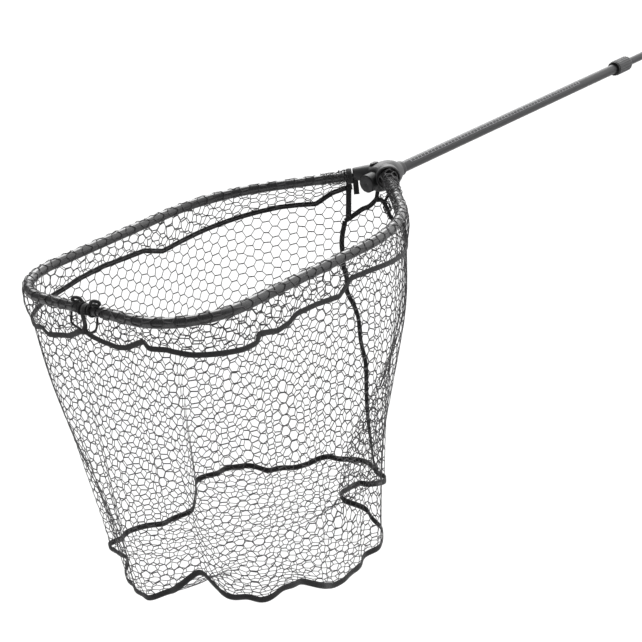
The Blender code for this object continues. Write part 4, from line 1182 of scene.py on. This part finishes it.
def scale():
    """The centimetre scale printed on the front tube."""
    def line(x, angles, width):
        return swept(*on_tube(x, angles, PRINT_LIFT), flat_section(width, PRINT_THICKNESS, 6))

    parts = []
    for mark in range(SCALE_MARKS):
        x = SCALE_START + SCALE_STEP * mark
        end, width = (SCALE_SHORT, SHORT_MARK) if mark % SCALE_EVERY else (SCALE_LONG, LONG_MARK)
        parts.append(line(x, np.linspace(SCALE_BASE, end, 8), width))
        if mark and mark % SCALE_EVERY == 0:
            parts.append(digits(mark, x))
    x = np.linspace(SCALE_START, SCALE_START + SCALE_STEP * (SCALE_MARKS - 1), 60)
    parts.append(line(x, np.full(60, SCALE_BASE), SCALE_LINE))
    finish_piece(merged("scale_print", parts), "anodised", body="handle_front", finish="print")


def finish_piece(piece, slot, *replaced, body="head", finish=None):
    """Give a piece its material and body, and hide the nodes that it stands for."""
    piece.data.materials.clear()
    piece.data.materials.append(MATERIALS[finish or slot])
    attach(piece, body)
    if replaced:
        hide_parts(*replaced)


def add(tree, kind, inputs=None, **settings):
    """A shader node with its settings, its inputs set or linked."""
    node = tree.nodes.new("ShaderNode" + kind)
    for name, value in settings.items():
        setattr(node, name, value)
    for name, value in (inputs or {}).items():
        if isinstance(value, bpy.types.NodeSocket):
            tree.links.new(value, node.inputs[name])
        else:
            node.inputs[name].default_value = value
    return node


def maths(tree, operation, first, second=None, third=None):
    """The result of a Math node."""
    inputs = {i: value for i, value in enumerate((first, second, third)) if value is not None}
    return add(tree, "Math", inputs, operation=operation).outputs[0]


def ramp(tree, factor, dark, light, low=0.3, high=0.7):
    """A colour between two colours."""
    node = add(tree, "ValToRGB", {"Fac": factor})
    for element, place, colour in zip(node.color_ramp.elements, (low, high), (dark, light)):
        element.position = place
        element.color = (*colour, 1)
    return node.outputs["Color"]


def grey(value, warmth=0.0):
    """A grey that leans a little to blue, or to brown with warmth above 0."""
    return value * (1 + warmth), value, value * (1.04 - warmth)


def new_material(name, **settings):
    """A new material's tree and its shader, with the shader's settings named in words joined by _."""
    material = bpy.data.materials.new(name)
    material.use_nodes = True
    shader = material.node_tree.nodes["Principled BSDF"]
    for setting, value in settings.items():
        shader.inputs[setting.replace("_", " ")].default_value = value
    MATERIALS[name] = material
    return material.node_tree, shader


def wire(tree, shader, colour, gloss, roughness, relief, bump, height):
    """Link a colour, a gloss between two roughnesses and a relief to a shader."""
    gloss = add(tree, "MapRange", {"Value": gloss, "To Min": roughness[0], "To Max": roughness[1]})
    relief = add(tree, "Bump", {"Strength": bump, "Distance": height, "Height": relief})
    tree.links.new(colour, shader.inputs["Base Color"])
    tree.links.new(gloss.outputs["Result"], shader.inputs["Roughness"])
    tree.links.new(relief.outputs["Normal"], shader.inputs["Normal"])


def grained(name, dark, light, patch, grain, roughness, bump, height, stretch=(1, 1, 1), **settings):
    """A material with soft patches between two greys, and a finer grain in its gloss and relief."""
    tree, shader = new_material(name, **settings)
    place = add(tree, "TexCoord").outputs["Object"]
    place = add(tree, "Mapping", {"Vector": place, "Scale": stretch}).outputs["Vector"]
    patches = add(tree, "TexNoise", {"Vector": place, "Scale": patch, "Detail": 4}).outputs["Fac"]
    fine = add(tree, "TexNoise", {"Vector": place, "Scale": grain, "Detail": 3}).outputs["Fac"]
    mixed = maths(tree, "MULTIPLY_ADD", fine, 0.45, maths(tree, "MULTIPLY", patches, 0.55))
    wire(tree, shader, ramp(tree, mixed, dark, light), fine, roughness, fine, bump, height)


def webbing():
    """Woven tape with slanting ribs and a dashed line of stitches near each edge."""
    tree, shader = new_material("webbing", Sheen_Weight=0.15)
    place = add(tree, "SeparateXYZ", {0: add(tree, "UVMap", uv_map="tape").outputs["UV"]})
    along = place.outputs["X"]
    across = maths(tree, "ABSOLUTE", place.outputs["Y"])
    slant = maths(tree, "MULTIPLY_ADD", across, 0.8, along)
    rib = maths(tree, "SINE", maths(tree, "MULTIPLY", slant, TURN / RIB_PITCH))
    rib = maths(tree, "MULTIPLY_ADD", rib, 0.5, 0.5)
    noise = add(tree, "TexNoise", {"Scale": 420.0, "Detail": 3,
                                   "Vector": add(tree, "TexCoord").outputs["Object"]}).outputs["Fac"]
    weave = maths(tree, "MULTIPLY_ADD", rib, 0.6, maths(tree, "MULTIPLY", noise, 0.5))
    cloth = ramp(tree, weave, grey(0.006), grey(0.024), 0.2, 0.9)
    line = maths(tree, "COMPARE", across, STITCH_LINE, STITCH_HALF)
    dash = maths(tree, "SINE", maths(tree, "MULTIPLY", along, TURN / STITCH_PITCH))
    stitch = maths(tree, "MULTIPLY", line, maths(tree, "GREATER_THAN", dash, -0.35))
    colour = add(tree, "MixRGB", {"Fac": stitch, "Color1": cloth, "Color2": (*grey(0.060), 1)})
    relief = maths(tree, "MULTIPLY_ADD", stitch, 0.8, weave)
    wire(tree, shader, colour.outputs["Color"], weave, (0.88, 0.68), relief, bump=0.6, height=0.0004)


def materials():
    """The finishes of all slots."""
    grained("anodised", grey(0.040), grey(0.056), patch=1.0, grain=2.4, roughness=(0.38, 0.52),
            bump=0.15, height=0.0002, stretch=(25, 700, 700), Metallic=0.6)
    grained("hoop_coat", grey(0.018), grey(0.030), patch=30, grain=900, roughness=(0.22, 0.34),
            bump=0.10, height=0.0002, Specular_IOR_Level=0.7)
    grained("moulded", grey(0.034), grey(0.048), patch=45, grain=1400, roughness=(0.42, 0.60),
            bump=0.35, height=0.0003)
    grained("black_plastic", grey(0.010), grey(0.018), patch=60, grain=1600, roughness=(0.40, 0.55),
            bump=0.20, height=0.0002, Specular_IOR_Level=0.3)
    grained("foam", grey(0.012), grey(0.028), patch=90, grain=900, roughness=(0.84, 0.96),
            bump=0.70, height=0.0008)
    grained("steel", grey(0.42), grey(0.60), patch=60, grain=1500, roughness=(0.24, 0.38),
            bump=0.10, height=0.0001, stretch=(1, 1, 6), Metallic=1.0)
    grained("nylon", grey(0.62, 0.03), grey(0.74, 0.03), patch=50, grain=1200, roughness=(0.42, 0.58),
            bump=0.15, height=0.0002)
    grained("rubber_net", grey(0.040, 0.02), grey(0.140, 0.02), patch=110, grain=1300,
            roughness=(0.50, 0.70), bump=0.45, height=0.0004, Specular_IOR_Level=0.3)
    grained("print", grey(0.30), grey(0.42), patch=70, grain=1800, roughness=(0.50, 0.66),
            bump=0.10, height=0.0001)
    webbing()


def ground_material():
    """Pale ground that shows white, and that sends less light back up on the object."""
    tree, shader = new_material("floor", Roughness=0.95, Specular_IOR_Level=0.0)
    path = add(tree, "LightPath")
    seen = maths(tree, "MAXIMUM", path.outputs["Is Camera Ray"], path.outputs["Is Glossy Ray"])
    seen = maths(tree, "MAXIMUM", seen, path.outputs["Is Transmission Ray"])
    colour = ramp(tree, seen, grey(GROUND_BOUNCE), (GROUND_SEEN,) * 3, 0, 1)
    tree.links.new(colour, shader.inputs["Base Color"])


def light():
    """A soft sky that is brighter towards the butt, and a wide sun."""
    world = bpy.data.worlds.new("studio")
    bpy.context.scene.world = world
    world.use_nodes = True
    tree = world.node_tree
    direction = add(tree, "TexCoord").outputs["Generated"]
    towards = add(tree, "VectorMath", {0: direction, 1: SKY_SIDE}, operation="DOT_PRODUCT").outputs["Value"]
    level = add(tree, "MapRange", {"Value": towards, "From Min": SKY_EDGES[0], "From Max": SKY_EDGES[1],
                                   "To Min": SKY_DARK, "To Max": SKY_BRIGHT})
    tree.links.new(level.outputs["Result"], tree.nodes["Background"].inputs["Strength"])
    tree.nodes["Background"].inputs["Color"].default_value = (1, 1, 1, 1)
    lamp = bpy.data.lights.new("sun", "SUN")
    lamp.energy = SUN_STRENGTH
    lamp.angle = math.radians(SUN_ANGLE)
    linked("sun", lamp).rotation_euler = Vector(SUN_FROM).to_track_quat("Z", "Y").to_euler()


def stage():
    """The ground and the camera."""
    scene = bpy.context.scene
    scene.view_settings.view_transform = "Standard"
    form = bmesh.new()
    bmesh.ops.create_grid(form, x_segments=1, y_segments=1, size=GROUND_HALF)
    floor = linked("floor", mesh_from(form, "floor"))
    floor.location = (GROUND_MIDDLE, 0, CAD_BOX[0][2] - GROUND_GAP)
    ground_material()
    floor.data.materials.append(MATERIALS["floor"])
    camera = linked("camera", bpy.data.cameras.new("camera"))
    camera.data.lens = CAMERA_LENS
    turn = Vector(CAMERA_LOOK).to_track_quat("-Z", "Y").to_matrix().to_4x4()
    roll = Matrix.Rotation(math.radians(CAMERA_ROLL), 4, "Z")
    camera.matrix_world = Matrix.Translation(CAMERA_PLACE) @ turn @ roll
    scene.camera = camera


# The stop cap takes black plastic as painted shade: its side is painted dark for the shadow under the neck,
# darker than its grey face. The arm tubes take their own glossy coat.
FINISHES_AND_PAINTED_SHADE = {"left_arm_tube": "hoop_coat", "right_arm_tube": "hoop_coat", "stop_cap": "black_plastic"}


def cad_finishes():
    """Materials of the nodes that stay as they are built."""
    for entry in frame["record"]["subparts"]:
        node = NODES[entry["node"]]
        slot = FINISHES_AND_PAINTED_SHADE.get(entry["node"], entry["material_slot"])
        node.data.materials.clear()
        node.data.materials.append(MATERIALS[slot])
        node.data.shade_smooth()
        node.data.set_sharp_from_angle(angle=math.radians(CAD_SHARP))


def bag():
    """All the netting, and the hoses under it on the arms."""
    finish_piece(wall_netting(), "rubber_net", "net_wall")
    finish_piece(floor_netting(), "rubber_net", "net_floor")
    ends = {
        "left": (NECK_LENGTH + SLEEVE_START, JOINER_HALF - TIP_OVERLAP),
        "right": (SOCKET_LENGTH - SOCKET_OVERLAP, JOINER_HALF + TIP_OVERLAP),
    }
    for side, name in SIDES:
        gather = SOCKET_GATHER if name == "right" else 0
        sleeve = rim_netting(side, "netting_rim_" + name, *ends[name], gather)
        finish_piece(sleeve, "rubber_net", "net_sleeve_" + name)
    for side, name in SIDES:
        finish_piece(hose(side, "hose_" + name, *ends[name]), "black_plastic", finish="hoop_coat")
    finish_piece(gathered_netting(), "rubber_net")
    for name, bunch in BUNCHES.items():
        finish_piece(bunched_netting(name, *bunch), "rubber_net")


def main():
    """Set the stage, and give every soft or blended piece its looks."""
    stage()
    light()
    materials()
    cad_finishes()
    bag()
    tapes()
    edge_strap()
    straps()
    ties()
    moulded_shell()
    head_trim()
    spring()
    scale()


main()
